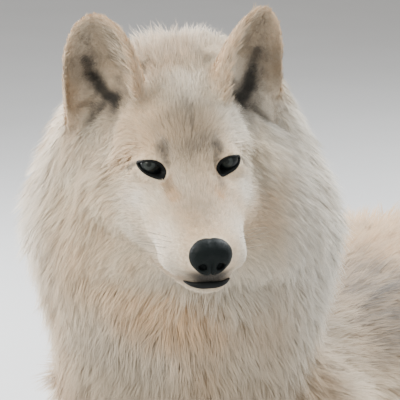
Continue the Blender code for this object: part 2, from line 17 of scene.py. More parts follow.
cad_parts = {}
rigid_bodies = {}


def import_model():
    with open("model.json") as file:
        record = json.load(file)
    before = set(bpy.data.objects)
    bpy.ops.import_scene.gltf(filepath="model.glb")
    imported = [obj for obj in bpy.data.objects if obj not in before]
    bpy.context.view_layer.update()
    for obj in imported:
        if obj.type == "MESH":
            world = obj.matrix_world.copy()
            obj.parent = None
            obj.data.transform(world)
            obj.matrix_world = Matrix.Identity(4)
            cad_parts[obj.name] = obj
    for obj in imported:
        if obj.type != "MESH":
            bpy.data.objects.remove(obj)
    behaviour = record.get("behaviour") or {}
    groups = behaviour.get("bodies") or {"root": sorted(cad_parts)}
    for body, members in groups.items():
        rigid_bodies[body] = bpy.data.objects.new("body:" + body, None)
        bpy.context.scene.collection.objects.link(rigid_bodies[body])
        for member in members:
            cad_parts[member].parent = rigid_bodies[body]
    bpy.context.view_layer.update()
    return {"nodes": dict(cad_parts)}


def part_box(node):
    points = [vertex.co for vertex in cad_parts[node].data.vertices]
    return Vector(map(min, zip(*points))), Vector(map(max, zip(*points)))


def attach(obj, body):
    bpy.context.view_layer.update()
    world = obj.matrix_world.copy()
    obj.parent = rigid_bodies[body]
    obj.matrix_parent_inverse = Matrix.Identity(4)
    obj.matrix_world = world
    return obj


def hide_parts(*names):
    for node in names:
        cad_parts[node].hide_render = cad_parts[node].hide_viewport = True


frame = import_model()
nodes = frame["nodes"]

# %% [markdown]
# The head is turned, nodded and tilted, so its forms are far easier to place in a frame of its own:
# X to the wolf's left, Y backwards, Z up, and the origin between the eyes. The three angles are those
# of the solids. The origin comes from the two eyeballs, which are known nodes.

# %% The frame of the head
HEAD_TURN, HEAD_NOD, HEAD_TILT = (math.radians(angle) for angle in (36.5, 13.3, 1.2))
EYE_CENTRE = Vector((0.0420, 0.0055, 0.0015))  # of the left eyeball
EYEBALL_RADIUS = 0.0118


def middle(node):
    low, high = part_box(node)
    return (Vector(low) + Vector(high)) / 2


head_axes = (
    Matrix.Rotation(HEAD_TURN, 4, "Z")
    @ Matrix.Rotation(HEAD_NOD, 4, "X")
    @ Matrix.Rotation(-HEAD_TILT, 4, "Y")
)
between_eyes = (middle("eye_left") + middle("eye_right")) / 2
head_origin = between_eyes - head_axes @ Vector((0, EYE_CENTRE.y, EYE_CENTRE.z))
HEAD = Matrix.Translation(head_origin) @ head_axes
HEAD_BACK = HEAD.inverted()
print("the head's origin is at", [round(value, 3) for value in head_origin])


def moved(matrix, points):
    """Many points, one to a row, put through a 4x4 matrix."""
    m = np.array(matrix)
    return points @ m[:3, :3].T + m[:3, 3]


def turned(matrix, directions):
    return directions @ np.array(matrix)[:3, :3].T


def ramp(value, start, end):
    """0 up to start, 1 from end on, and a soft step between them."""
    t = np.clip((np.asarray(value, float) - start) / (end - start), 0, 1)
    return t * t * (3 - 2 * t)


def unit(vectors):
    return vectors / np.maximum(np.linalg.norm(vectors, axis=-1, keepdims=True), 1e-9)


# %% [markdown]
# Small helpers for objects. A finished piece sits at the origin with its place in its mesh, so that a
# pattern on object coordinates stays where it is.

# %% Making objects
def linked(name, data):
    obj = bpy.data.objects.new(name, data)
    bpy.context.scene.collection.objects.link(obj)
    return obj


def new_object(name, mesh, *materials):
    for material in materials:
        mesh.materials.append(material)
    return linked(name, mesh)


def smooth_faces(mesh):
    mesh.polygons.foreach_set("use_smooth", [True] * len(mesh.polygons))
    return mesh


def mesh_of(name, bm):
    """A mesh with smooth faces, from a bmesh that is then done with."""
    mesh = bpy.data.meshes.new(name)
    bm.to_mesh(mesh)
    bm.free()
    return smooth_faces(mesh)


def from_bmesh(name, bm, *materials):
    return new_object(name, mesh_of(name, bm), *materials)


def evaluated(obj):
    """A plain mesh of what the object's modifiers make."""
    graph = bpy.context.evaluated_depsgraph_get()
    return bpy.data.meshes.new_from_object(obj.evaluated_get(graph), depsgraph=graph)


def apply_modifiers(obj):
    mesh = evaluated(obj)
    obj.modifiers.clear()
    old, obj.data = obj.data, mesh
    bpy.data.meshes.remove(old)
    return obj


def read(mesh, kind="co"):
    """The vertices' places or normals, one to a row."""
    values = np.empty(3 * len(mesh.vertices))
    if kind == "co":
        mesh.vertices.foreach_get("co", values)
    else:
        mesh.vertex_normals.foreach_get("vector", values)
    return values.reshape(-1, 3)


def place(mesh, points):
    mesh.vertices.foreach_set("co", points.ravel())
    mesh.update()


def triangles(mesh):
    return sum(len(face.vertices) - 2 for face in mesh.polygons)


# %% [markdown]
# The skin is one closed surface that runs over the whole animal with no seam. The solids are parted by
# thin cuts, so their copies are first let out a little to overlap, then wrapped together by a voxel
# remesh, which keeps only the outside. The remesh is far finer than the solids' facets, and sixty
# rounds of smoothing, stronger on the trunk than on the head, turn the facets into round forms.

# %% One closed body from the solids of flesh
FLESH = [name for name in nodes if not name.startswith(("claw", "eye", "nose"))]
OVERLAP = 0.0006
DOUBLES = 1e-5  # metres; corners nearer to each other than this are one
SKIN_VOXEL = 0.0028
SKIN_ROUNDS, SKIN_SMOOTHING = 60, 0.6
SKIN_TRIANGLES = 110000


def copied(*names):
    """One bmesh with the solids of these names."""
    bm = bmesh.new()
    for name in names:
        bm.from_mesh(nodes[name].data)
    bmesh.ops.remove_doubles(bm, verts=bm.verts, dist=DOUBLES)
    return bm


def rewrapped(obj, voxel):
    """The outside of an object, remade of even faces."""
    wrap = obj.modifiers.new("Wrap", "REMESH")
    wrap.mode = "VOXEL"
    wrap.voxel_size = voxel
    return apply_modifiers(obj)


def wrapped_body():
    bm = bmesh.new()
    for name in nodes:
        if name.startswith("claw"):
            continue
        part = copied(name)
        part.normal_update()
        for vertex in part.verts:
            vertex.co += vertex.normal * OVERLAP
        copy = mesh_of("copy", part)
        bm.from_mesh(copy)
        bpy.data.meshes.remove(copy)
    return rewrapped(from_bmesh("skin", bm), SKIN_VOXEL)


class Neighbours:
    """Averages over the neighbours of every vertex, for smoothing places and fields alike."""

    def __init__(self, mesh):
        edges = np.empty(2 * len(mesh.edges), int)
        mesh.edges.foreach_get("vertices", edges)
        self.one, self.two = edges[0::2], edges[1::2]
        self.count = len(mesh.vertices)
        self.degree = np.maximum(np.bincount(edges, minlength=self.count), 1)

    def mean(self, values):
        columns = values.reshape(self.count, -1)
        result = np.empty_like(columns)
        for k in range(columns.shape[1]):
            column = columns[:, k]
            total = np.bincount(self.one, column[self.two], self.count)
            total += np.bincount(self.two, column[self.one], self.count)
            result[:, k] = total / self.degree
        return result.reshape(values.shape)

    def smoothed(self, values, rounds, amount=0.5):
        for _ in range(rounds):
            values = values + amount * (self.mean(values) - values)
        return values


skin = wrapped_body()
points = read(skin.data)
in_head = moved(HEAD_BACK, points)
ear_zone = ramp(in_head[:, 2], 0.070, 0.085)
head_zone = 1 - ramp(np.linalg.norm(in_head - (0, 0.0, -0.02), axis=1), 0.15, 0.24)
feet_zone = 1 - ramp(points[:, 2], 0.06, 0.10)
firmness = np.maximum.reduce([0.97 * ear_zone * head_zone**0.2, 0.86 * head_zone, 0.7 * feet_zone])
points = Neighbours(skin.data).smoothed(points, SKIN_ROUNDS, SKIN_SMOOTHING * (1 - firmness)[:, None])
place(skin.data, points)
print("wrapped body:", len(points), "vertices")

# %% [markdown]
# The remesh gives the same small faces everywhere. Decimating takes them away where the surface is
# plain, as on the trunk, and leaves them where it is not, as on the face and the ears. A small weight
# in favour of the head keeps enough there for lids and lips.

# %% Fewer faces under the deep coat
HEAD_FAVOUR = 0.00001


def thinned(body):
    group = body.vertex_groups.new(name="plain")
    plain = np.round(1 - head_zone, 1)
    for level in np.unique(plain):
        group.add(np.nonzero(plain == level)[0].tolist(), float(level), "REPLACE")
    thin = body.modifiers.new("Thin", "DECIMATE")
    thin.ratio = SKIN_TRIANGLES / triangles(body.data)
    thin.vertex_group = "plain"
    thin.vertex_group_factor = HEAD_FAVOUR
    thin.use_collapse_triangulate = True
    apply_modifiers(body)
    body.vertex_groups.clear()


thinned(skin)
print("skin:", len(skin.data.vertices), "vertices,", triangles(skin.data), "triangles")

# %% [markdown]
# Lids and lips need smaller faces than the rest of the head. Subdividing only the edges near them gives
# these, at no cost elsewhere.

# %% Smaller faces round the eyes and the mouth
NOSE_TIP = (0.0, -0.125, -0.050)
REFINED_REACH = ((0.028, 0.046), (0.024, 0.0))  # metres from an eye and from the nose, at each halving


def folded(here):
    """Points of the right half laid on the left half."""
    return np.abs(here * (1, 0, 0)) + here * (0, 1, 1)


def eye_distance(here):
    """How far each point in the head's frame is from the nearer eyeball's middle."""
    return np.linalg.norm(folded(here) - np.array(EYE_CENTRE), axis=1)


def refined(body):
    bm = bmesh.new()
    bm.from_mesh(body.data)
    for eye_reach, mouth_reach in REFINED_REACH:
        here = moved(HEAD_BACK, np.array([vertex.co for vertex in bm.verts]))
        near = (eye_distance(here) < eye_reach) | (np.linalg.norm(here - NOSE_TIP, axis=1) < mouth_reach)
        edges = [edge for edge in bm.edges if all(near[vertex.index] for vertex in edge.verts)]
        bmesh.ops.subdivide_edges(bm, edges=edges, cuts=1, use_grid_fill=True)
        bmesh.ops.triangulate(bm, faces=[face for face in bm.faces if len(face.verts) > 3])
        bm.verts.index_update()
    bm.to_mesh(body.data)
    bm.free()


refined(skin)
print("skin, refined:", triangles(skin.data), "triangles")

# %% [markdown]
# Every point of the skin has to know which part of the animal it belongs to, because the coat's
# length and lie change from part to part. The nearest face of the solids tells the part. The numbers
# are then spread over the neighbouring points, so that nothing about the coat changes abruptly.

# %% Which part of the body each point is on
def part_finder():
    """A tree of all of the solids' faces, and the name of the part that each face belongs to."""
    corners, faces, names = [], [], []
    for name in nodes:
        mesh = nodes[name].data
        start = len(corners)
        corners += [vertex.co.copy() for vertex in mesh.vertices]
        for face in mesh.polygons:
            faces.append([start + index for index in face.vertices])
            names.append(name)
    return BVHTree.FromPolygons(corners, faces), names


solids, face_names = part_finder()
points = read(skin.data)
links = Neighbours(skin.data)
part = np.array([face_names[solids.find_nearest(point)[2]] for point in points])
kind = np.array([name.replace("_left", "").replace("_right", "").split("_1")[0] for name in part])
in_head = moved(HEAD_BACK, points)
hx, _, hz = in_head.T
print("parts:", {name: int((kind == name).sum()) for name in sorted(set(kind)) if "claw" not in name})

# %% [markdown]
# The coat in numbers, for each part: how deep it is over the skin, how long its locks are, and how far
# they stand off from the skin. On the face it is a few millimetres deep. Over the shoulders and in the
# ruff it is about 2 cm deep, and its locks are about 5 cm long. On the head it grows with the distance
# from the nose, so there it is a formula and not a number.

# %% Depth, length and lift
def line_distance(line, here):
    """How far points are from a line through some corners."""
    corners = np.array(line)
    nearest = np.full(len(here), 1.0)
    for start, end in zip(corners, corners[1:]):
        share = np.clip((here - start) @ (end - start) / ((end - start) @ (end - start)), 0, 1)
        nearest = np.minimum(nearest, np.linalg.norm(here - start - share[:, None] * (end - start), axis=1))
    return nearest


def along_line(line, radius, here):
    """A soft stripe along a line of points: 1 on the line and 0 from the radius on."""
    return 1 - ramp(line_distance(line, here), 0.2 * radius, radius)


MM = 0.001
COAT = {  # depth, length, lift in degrees
    "head": (3.0, 12.0, 20),
    "lower_jaw": (2.0, 7.0, 18),
    "nose": (2.6, 2.5, 12),
    "eye": (1.8, 3.0, 15),
    "ear": (1.7, 7.0, 13),
    "neck": (24.0, 52.0, 32),
    "chest": (22.0, 50.0, 29),
    "barrel": (20.0, 50.0, 30),
    "rump": (20.0, 50.0, 30),
    "thigh": (16.0, 44.0, 28),
    "hindfoot": (4.5, 13.0, 20),
    "foreleg_upper": (15.0, 42.0, 28),
    "forearm": (6.5, 20.0, 24),
    "forepaw": (3.5, 12.0, 20),
    "tail_base": (24.0, 47.0, 26),
    "tail_end": (24.0, 45.0, 24),
}
from_nose = np.linalg.norm(in_head - NOSE_TIP, axis=1)
on_head = np.isin(kind, ("head", "lower_jaw", "nose", "eye"))
on_ear = kind == "ear"
on_neck = kind == "neck"
upwards = ramp(hz, 0.010, 0.060) * ramp(np.abs(hx), 0.125, 0.085)  # forehead and crown
TO_RUFF = (0.02, 0.06, 0.12, 0.17, 0.21, 0.25)  # metres from the nose over the cheek
TO_CROWN = (0.10, 0.16, 0.20, 0.24, 0.28)  # and over the forehead
TO_NECK = (0.06, 0.12, 0.20, 0.28)  # and under the jaw
TO_NAPE = (0.02, 0.10, 0.20, 0.26)


def from_table(column):
    return np.array([COAT.get(name, COAT["forepaw"])[column] for name in kind], float)


def over_head(on_the_way_to_ruff, on_the_way_to_crown):
    """A measure that grows with the distance from the nose, one way to the side and another to the top."""
    to_side = np.interp(from_nose, TO_RUFF, on_the_way_to_ruff)
    to_top = np.interp(from_nose, TO_CROWN, on_the_way_to_crown)
    return to_side * (1 - upwards) + to_top * upwards


depth, length, lift = (from_table(column) for column in range(3))
depth = np.where(on_head, over_head((1.8, 2.4, 3.6, 7, 15, 23), (2.4, 3.2, 4.5, 7, 15)), depth)
length = np.where(on_head, over_head((3.0, 7, 12, 24, 38, 48), (8, 12, 17, 21, 28)), length)
depth = np.where(on_neck, np.interp(from_nose, TO_NECK, (6, 12, 20, 24)), depth)
length = np.where(on_neck, np.interp(from_nose, TO_NECK, (24, 36, 46, 52)), length)
lift = np.where(on_head, np.interp(from_nose, TO_NAPE, (12, 18, 26, 32)), lift)
lift = lift * (1 - 0.35 * ramp(hz, 0.020, 0.070) * (on_head | on_neck))
EAR_FUR_EDGE = ((0.042, 0.058, 0.053), (0.062, 0.076, 0.046), (0.078, 0.078, 0.031), (0.095, 0.075, 0.012))
below_ear = on_head * along_line(EAR_FUR_EDGE, 0.040, folded(in_head))
length = length * (1 - 0.75 * below_ear)
ear_tree = KDTree(int(on_ear.sum()))
for index, point in enumerate(points[on_ear]):
    ear_tree.insert(point, index)
ear_tree.balance()
off_ear = np.array([ear_tree.find(point)[2] for point in points]) / MM
depth = np.minimum(depth, 2.0 + 0.32 * off_ear)  # the ear's root is too thin for a deep coat
length = np.minimum(length, 9.0 + 0.90 * off_ear)
near_eye = 1 - ramp(eye_distance(in_head), 0.016, 0.034)
depth = depth * (1 - near_eye) + 1.8 * near_eye
length = length * (1 - near_eye) + 4.5 * near_eye
depth, length, lift = (links.smoothed(field, 24) for field in (depth, length, lift))
print("coat length from", round(length.min(), 1), "to", round(length.max(), 1), "mm")

# %% [markdown]
# The skin now goes in by the coat's depth. Moved in one step it would fold over itself where the body
# is thin, so it goes in by many small steps, with the normals measured again and a touch of smoothing
# after each.

# %% The skin goes in under the coat
STEPS = 16


def soft_normals(mesh, rounds):
    return unit(links.smoothed(read(mesh, "normal"), rounds))


def sunk(mesh, start, depths):
    here = start
    for _ in range(STEPS):
        place(mesh, here)
        here = here - soft_normals(mesh, 2) * (depths * MM / STEPS)[:, None]
        calm = 0.30 * ramp(depths, 6, 30)[:, None]
        here = here + calm * (links.mean(here) - here)
    place(mesh, here)
    return here


tips = points.copy()
points = sunk(skin.data, points, depth)
print("the skin is sunk by up to", round(float(np.linalg.norm(points - tips, axis=1).max()), 3), "m")

# %% [markdown]
# The eye of a wolf is a slanting almond. Its inner corner runs out into a dark groove beside the bridge
# of the nose. The opening is drawn flat, in a frame of its own at the eyeball: along the slit, up, and
# out of the face. Both sides are worked as if they were the left one.

# %% The opening between the lids
LID_INNER = Vector((0.0332, -0.0180, -0.0060))
LID_OUTER = Vector((0.0552, 0.0092, 0.0027))
LID_FACING = Vector((0.35, -0.93, 0.12)).normalized()
LID_UP = LID_FACING.cross(LID_OUTER - LID_INNER).normalized()
LID_ALONG = LID_UP.cross(LID_FACING)
EYE_AXES = np.array((LID_ALONG, LID_UP, LID_FACING)).T
LID_PEAK_SHIFT, LID_FULLNESS = 0.82, 0.65
LID_UPPER, LID_LOWER = 0.0114, 0.0036  # how far each lid's edge is from the line between the corners
LID_STEPS = 40
LID_THICKNESS = 0.0013
EYE_REACH = 0.042


def to_eye(left_points):
    """Points of the left half of the head, in the eye's own frame."""
    return (left_points - np.array(EYE_CENTRE)) @ EYE_AXES


def out_of_eye(eye_points):
    return eye_points @ EYE_AXES.T + np.array(EYE_CENTRE)


def on_wolf(eye_points, side):
    """Points of the eye's frame put on the wolf, on the side asked for."""
    return moved(HEAD, out_of_eye(eye_points) * (side, 1, 1))


def almond(inner, outer, level, upper, lower):
    """The outline of a lid opening, from its inner corner over the upper lid and back."""
    steps = [(1 - math.cos(math.pi * k / LID_STEPS)) / 2 for k in range(LID_STEPS + 1)]
    ring = []
    for t, reach in [(t, upper) for t in steps] + [(t, -lower) for t in steps[-2:0:-1]]:
        swell = abs(math.sin(math.pi * t**LID_PEAK_SHIFT)) ** LID_FULLNESS
        ring.append((inner + (outer - inner) * t, level + swell * reach))
    return np.array(ring)


lid_corners = to_eye(np.array((LID_INNER, LID_OUTER)))
LID_RING = almond(lid_corners[0, 0], lid_corners[1, 0], lid_corners[0, 1], LID_UPPER, LID_LOWER)
print("lid opening, along and across:", np.ptp(LID_RING, axis=0).round(4).tolist(), "m")


def ring_distance(flat_points, ring):
    """How far points lie from a closed outline, less than zero inside it."""
    following = np.roll(ring, -1, axis=0)
    edge = following - ring
    off = flat_points[:, None] - ring
    share = np.clip((off * edge).sum(-1) / (edge * edge).sum(-1), 0, 1)
    distance = np.linalg.norm(off - share[..., None] * edge, axis=-1).min(axis=1)
    y = flat_points[:, 1][:, None]
    crosses = (ring[:, 1] > y) != (following[:, 1] > y)
    rise = np.where(edge[:, 1] == 0, 1e-12, edge[:, 1])
    at = ring[:, 0] + (y - ring[:, 1]) / rise * edge[:, 0]
    inside_it = (crosses & (flat_points[:, 0][:, None] < at)).sum(axis=1) % 2 == 1
    return np.where(inside_it, -distance, distance)


def nearest_on_ring(flat_points, ring):
    """The corner of a closed outline that is nearest to each point."""
    return ring[np.linalg.norm(flat_points[:, None] - ring, axis=-1).argmin(axis=1)]


def lid_distance(left_points):
    """How far the points round an eye are from its opening, and 5 cm for all the others."""
    local = to_eye(left_points)
    near = np.linalg.norm(local, axis=1) < EYE_REACH
    result = np.full(len(local), 0.05)
    result[near] = ring_distance(local[near, :2], LID_RING)
    return result


# %% [markdown]
# Before the canal of each ear the skin sinks in, in an outline that is drawn in a frame of the ear's own:
# across it, up it, and out of its front.

# %% The hollow of the ear
def flipped(here):
    """Points of the right half of the head put on the left half, and the signs to put them back."""
    signs = np.stack((np.where(here[:, 0] > 0, 1.0, -1.0), *np.ones((2, len(here)))), axis=1)
    return here * signs, signs


EAR_BASE, EAR_TIP = Vector((0.079, 0.089, 0.0545)), Vector((0.0935, 0.077, 0.1480))
EAR_SPLAY = math.radians(32)
ear_axis = unit(np.array(EAR_TIP - EAR_BASE))
ear_front = unit(np.array((math.sin(EAR_SPLAY), -math.cos(EAR_SPLAY), 0)))
ear_across = unit(np.cross(ear_front, ear_axis))  # to the middle of the head on the left ear
EAR_AXES = np.array((ear_across, ear_axis, ear_front)).T
EAR_HOLLOW = np.array(
    ((0.044, -0.006), (0.030, -0.011), (0.010, -0.023), (-0.008, -0.038), (-0.027, -0.049))
    + ((-0.040, -0.056), (-0.046, -0.030), (-0.046, 0.010), (-0.030, 0.030), (0.020, 0.030), (0.040, 0.012))
)


def to_ear(left_points):
    """Across the ear, up it and out of its front, from the middle of its base."""
    return (left_points - np.array(EAR_BASE)) @ EAR_AXES


def in_ear_hollow(here):
    """1 before the ear's canal and 0 outside it, on what faces the front, and how far it can go in."""
    left, signs = flipped(here)
    in_ear = to_ear(left)
    close = (in_ear[:, 2] > -0.060) & (in_ear[:, 2] < 0.036) & (np.abs(in_ear[:, 0]) < 0.06)
    share = np.zeros(len(left))
    share[close] = ramp(-ring_distance(in_ear[close, :2], EAR_HOLLOW), -0.001, 0.008)
    out = turned(HEAD_BACK, soft_normals(skin.data, 4)) * signs
    share *= ramp(out @ ear_front, -0.15, 0.15) * np.where(on_ear, ramp(in_ear[:, 1], 0.028, 0.002), 1)
    room = 0.009 * share * on_head * ramp(in_ear[:, 2], -0.026, -0.006)
    return links.smoothed(share, 4), links.smoothed(room, 4)


hollow, hollow_depth = in_ear_hollow(moved(HEAD_BACK, points))
print("the hollow of an ear goes in by up to", round(float(hollow_depth.max()), 4), "m")

# %% [markdown]
# Round the opening of the lids the skin is hollowed at the inner corner, raised at the brow, laid over
# the ball, and taken in behind it between the lids. At the nose it makes room for the pad.

# %% The forms round the eyes and the nose
NOSE_PAD = (0, -0.122, -0.0515)
EYE_FORMS = (  # how far the skin goes out, round which place and how wide
    (-0.0062, LID_INNER, 0.022),
    (-0.0022, (0.047, -0.004, -0.018), 0.020),
    (0.0020, (0.036, 0.000, 0.019), 0.016),
)


def soft_max(one, two, softness):
    near = np.clip(softness - np.abs(one - two), 0, None) / softness
    return np.maximum(one, two) + near * near * softness / 4


def near_place(left_points, centre, radius):
    return 1 - ramp(np.linalg.norm(left_points - np.array(centre), axis=1), 0.15 * radius, radius)


def blob(centre, radii, here=None, start=0.25, end=1.0):
    """A soft spot: 1 in the middle of an ellipsoid and 0 at its surface."""
    here = as_left if here is None else here
    return 1 - ramp(np.linalg.norm((here - np.array(centre)) / np.array(radii), axis=1), start, end)


def formed_face(here):
    left, signs = flipped(here)
    local = to_eye(left)
    around = np.linalg.norm(local, axis=1) < 0.045
    shift = sum(out * near_place(left, centre, radius) for out, centre, radius in EYE_FORMS)
    local[:, 2] += np.where(around, shift, 0)
    under_pad = blob(NOSE_PAD, (0.0225, 0.026, 0.0185), left, 0.80, 1.0)
    reach = np.linalg.norm(local, axis=1)
    over_ball = soft_max(reach, EYEBALL_RADIUS + LID_THICKNESS, 0.003) / np.maximum(reach, 1e-6)
    local *= np.where(around & (local[:, 2] > -0.003), over_ball, 1)[:, None]
    formed = out_of_eye(local)
    formed[:, 1] += 0.010 * under_pad
    formed -= ear_front * hollow_depth[:, None]
    return formed * signs


def with_sockets(here):
    """The skin inside each opening goes back behind the eyeball."""
    left, signs = flipped(here)
    inside_it = 1 - ramp(lid_distance(left), -0.0006, 0.0001)
    local = to_eye(left)
    facing = local[:, 2] > -0.006
    local[:, 2] = np.where(facing, local[:, 2] * (1 - inside_it) - 0.004 * inside_it, local[:, 2])
    return out_of_eye(local) * signs


points = moved(HEAD, formed_face(moved(HEAD_BACK, points)))
place(skin.data, points)
normals = soft_normals(skin.data, 2)
points = moved(HEAD, with_sockets(moved(HEAD_BACK, points)))
place(skin.data, points)
in_head = moved(HEAD_BACK, points)
hx, _, hz = in_head.T
as_left, to_left = flipped(in_head)
ear_side = to_left[:, 0]
lid_gap = lid_distance(as_left)
length = length * (1 - hollow) + 4.0 * hollow
length = np.minimum(length, np.interp(lid_gap, (0.0, 0.003, 0.008, 0.012), (2.0, 2.8, 6.0, 90.0)))
print("points inside the lids:", int((lid_gap < 0).sum()))

# %% [markdown]
# Fur lies like combed grass. On the face it runs away from the nose: up over the forehead and out over
# the cheeks. In the ruff it turns downwards and fans out. On the trunk it runs to the tail and down
# the flanks, and on each leg to the foot. One direction for each part is enough. It is then smoothed
# over the skin and laid flat against it.

# %% The lie of the coat
LIES = {
    "barrel": (0, 1, -0.50),
    "rump": (0, 1, -0.55),
    "thigh": (0, 0.70, -0.75),
    "hindfoot": (0, -1, -0.12),
    "foreleg_upper": (0, 0.55, -0.85),
    "forearm": (0, -1, -0.25),
    "forepaw": (0, -1, -0.25),
}
TAIL_TURN = Vector((0.145, 0.450, 0.0))  # the tail curls on the floor round this point


def tail_lie():
    """Along the curl of the tail, and down where it stands high."""
    out = points - np.array(TAIL_TURN)
    drop = np.clip((points[:, 2] - 0.070) * 6, 0, 1.6)
    return unit(np.stack((out[:, 1], -out[:, 0], -0.16 * drop), axis=1))


def head_lie():
    """Away from the nose, and more and more downwards where the ruff begins."""
    away = unit(in_head - (NOSE_TIP[0], NOSE_TIP[1] - 0.010, NOSE_TIP[2] + 0.005))
    away[:, 0] *= 1.25
    local = to_eye(as_left)
    from_lids = local[:, :2] - nearest_on_ring(local[:, :2], LID_RING)
    outward = unit(from_lids) @ EYE_AXES[:, :2].T * to_left
    away += 2.2 * (1 - ramp(lid_gap, 0.002, 0.014))[:, None] * outward
    fall = 0.80 * ramp(from_nose, 0.09, 0.21) * (1 - upwards)
    world = turned(HEAD, unit(away))
    return unit(world * (1 - fall)[:, None] + np.array((0, 0.12, -1)) * fall[:, None])


def chest_lie():
    """Down the front, spread a little to either side, and backwards over the shoulders."""
    front = ramp(-points[:, 1], 0.30, 0.42)[:, None]
    spread = points * (1.6, 0, 0) - (0, 0, 1)
    return unit(spread * front + np.array((0, 1, -0.45)) * (1 - front))


lie = np.zeros_like(points)
for name, direction in LIES.items():
    lie[kind == name] = unit(np.array(direction, float))
on_tail = np.isin(kind, ("tail_base", "tail_end"))
on_chest = kind == "chest"
for where, directions in ((on_tail, tail_lie()), (on_head | on_neck, head_lie()), (on_chest, chest_lie())):
    lie[where] = directions[where]
lie[np.linalg.norm(lie, axis=1) < 0.5] = (0, -1, -0.2)

# %% [markdown]
# An ear is a sheet with two faces. On its back the hair runs straight to the tip. Inside, long pale
# hairs leave the front edge and sweep up across the opening, over short grey ones.

# %% The lie on the ears
ear_width, ear_up, ear_out = to_ear(as_left).T
faces_front = (turned(HEAD_BACK, normals) * to_left) @ ear_front
inside = on_ear * ramp(faces_front, -0.15, 0.45)


def ear_lie():
    up = np.tile(ear_axis, (len(points), 1))
    fan = up * 0.8 - ear_across * 0.75 * np.sign(ear_width + 0.010)[:, None]
    local = unit(up * (1 - inside)[:, None] + unit(fan) * inside[:, None])
    local[:, 0] *= ear_side
    return turned(HEAD, local)


lie[on_ear] = ear_lie()[on_ear]
long_hairs = inside * ramp(ear_width, 0.006, 0.020)
length = links.smoothed(np.where(on_ear, length * (1 + 1.5 * long_hairs), length), 2)
lie = links.smoothed(lie, 14)
lie = unit(lie - normals * (lie * normals).sum(axis=1)[:, None])
print("ear points:", int(on_ear.sum()), "of them inside:", int((inside > 0.5).sum()))

# %% [markdown]
# The wolf is creamy white, not plain white. Its markings are soft: fawn on the ear rims, the back and
# the flanks, grey-brown in the middle of the forehead, over the eyes and inside the ears, purer white on
# the muzzle, the chin and the crown, and near-black only round the eyes and the mouth. Some masks are
# painted light and shade instead: a warm tint on the wolf's right of the head and the neck, a cooler,
# whiter one high on its left, a painted rim light on the outer edges of the head and the neck, a painted
# highlight on a ridge beside each eye, and painted shade in the groove next to it, along the mouth,
# inside the ears, on the flanks, low on the chest and on the chest's left. Each is a named mask, from 0
# to 1, on the points of the skin. Skin and coat read the same masks.

# %% Markings
def drifting(scale, seed, here=None):
    """Slow noise from 0 to 1 over the body, to break up the edge of a marking."""
    here = points if here is None else here
    offset = Vector((seed, 2.3 * seed, 5.1 * seed))
    return np.array([noise.noise(Vector(point) * scale + offset) for point in here]) * 0.5 + 0.5


drift = drifting(16, 1)
fine_drift = drifting(45, 2)
patches = drifting(11, 6)


def strongest(*masks):
    """Of several masks, the highest at each point."""
    return np.maximum.reduce(masks)


def part_mask(*kinds):
    """1 on these parts of the body and 0 elsewhere, with a wide soft edge."""
    return links.smoothed(np.isin(kind, kinds).astype(float), 30)


trunk = part_mask("barrel", "rump", "chest", "thigh", "tail_base", "tail_end")
front = part_mask("neck", "chest")
head_and_neck = part_mask("head", "ear", "lower_jaw", "neck")
legs = np.isin(kind, ("forearm", "forepaw", "hindfoot", "foreleg_upper"))
ridge = ramp(normals[:, 2], 0.35, 0.9) * trunk
forehead = blob((0, 0.018, 0.030), (0.040, 0.068, 0.052)) * (0.4 + 0.6 * ramp(fine_drift, 0.3, 0.6))
brow_spot = blob((0.0285, 0.001, 0.0165), (0.0135, 0.0145, 0.0105))
TEAR_LINE = ((0.0285, -0.022, -0.008), (0.0250, -0.040, -0.016), (0.0225, -0.050, -0.020))
tear_line = along_line(TEAR_LINE, 0.011, as_left)
# Beside each eye's inner corner a groove runs up to the brow: a brownish streak in the fur, with painted
# shade in the groove.
EYE_GROOVE = ((0.0262, -0.036, -0.014), (0.0285, -0.022, -0.007), (0.0265, -0.010, 0.006))
EYE_GROOVE += ((0.0300, -0.001, 0.015),)
groove_streak_and_shade = along_line(EYE_GROOVE, 0.0065, as_left)
# Painted highlight: a pale line on the ridge between that groove and the bridge of the nose.
BROW_RIDGE = ((0.0215, -0.032, -0.004), (0.0205, -0.014, 0.009), (0.0240, 0.003, 0.021))
BROW_RIDGE += ((0.0360, 0.010, 0.027),)
painted_ridge_light = along_line(BROW_RIDGE, 0.0070, as_left)
bridge = blob((0.004, -0.075, -0.022), (0.020, 0.040, 0.020))
muzzle_side = blob((0.034, -0.075, -0.060), (0.036, 0.060, 0.044))
under_eye = blob((0.050, -0.008, -0.030), (0.036, 0.040, 0.028))
LID_TAIL = ((0.0545, 0.008, 0.0027), (0.0620, 0.0140, -0.0020), (0.0720, 0.0260, -0.0110))
lid_tail = along_line(LID_TAIL, 0.0042, as_left)
# Painted shadow: a brownish dark line along the crease where the flews close over the jaw.
MOUTH_LINE = ((0.0, -0.116, -0.0800), (0.0150, -0.113, -0.0815), (0.0245, -0.100, -0.0860))
MOUTH_LINE += ((0.0344, -0.050, -0.1002), (0.0421, -0.014, -0.0990))
painted_mouth_shadow = along_line(MOUTH_LINE, 0.0095, as_left)
upper_lip = blob((0, -0.119, -0.0765), (0.036, 0.030, 0.0175))
philtrum = along_line(((0, -0.126, -0.068), (0, -0.118, -0.082)), 0.0035, as_left)
rim = on_ear * (1 - inside)
# The flanks: their own fawn and dark streaks, and painted shade that darkens them.
flank_marks_and_shade = blob((0.115, -0.080, 0.310), (0.170, 0.220, 0.155), folded(points)) * trunk
buff = blob((0.052, -0.510, 0.350), (0.036, 0.060, 0.026), points)
chest_side = blob((-0.105, -0.475, 0.315), (0.075, 0.085, 0.080), points)
crown = blob((0, 0.130, 0.075), (0.075, 0.055, 0.050))
print("markings drawn on", len(points), "points")

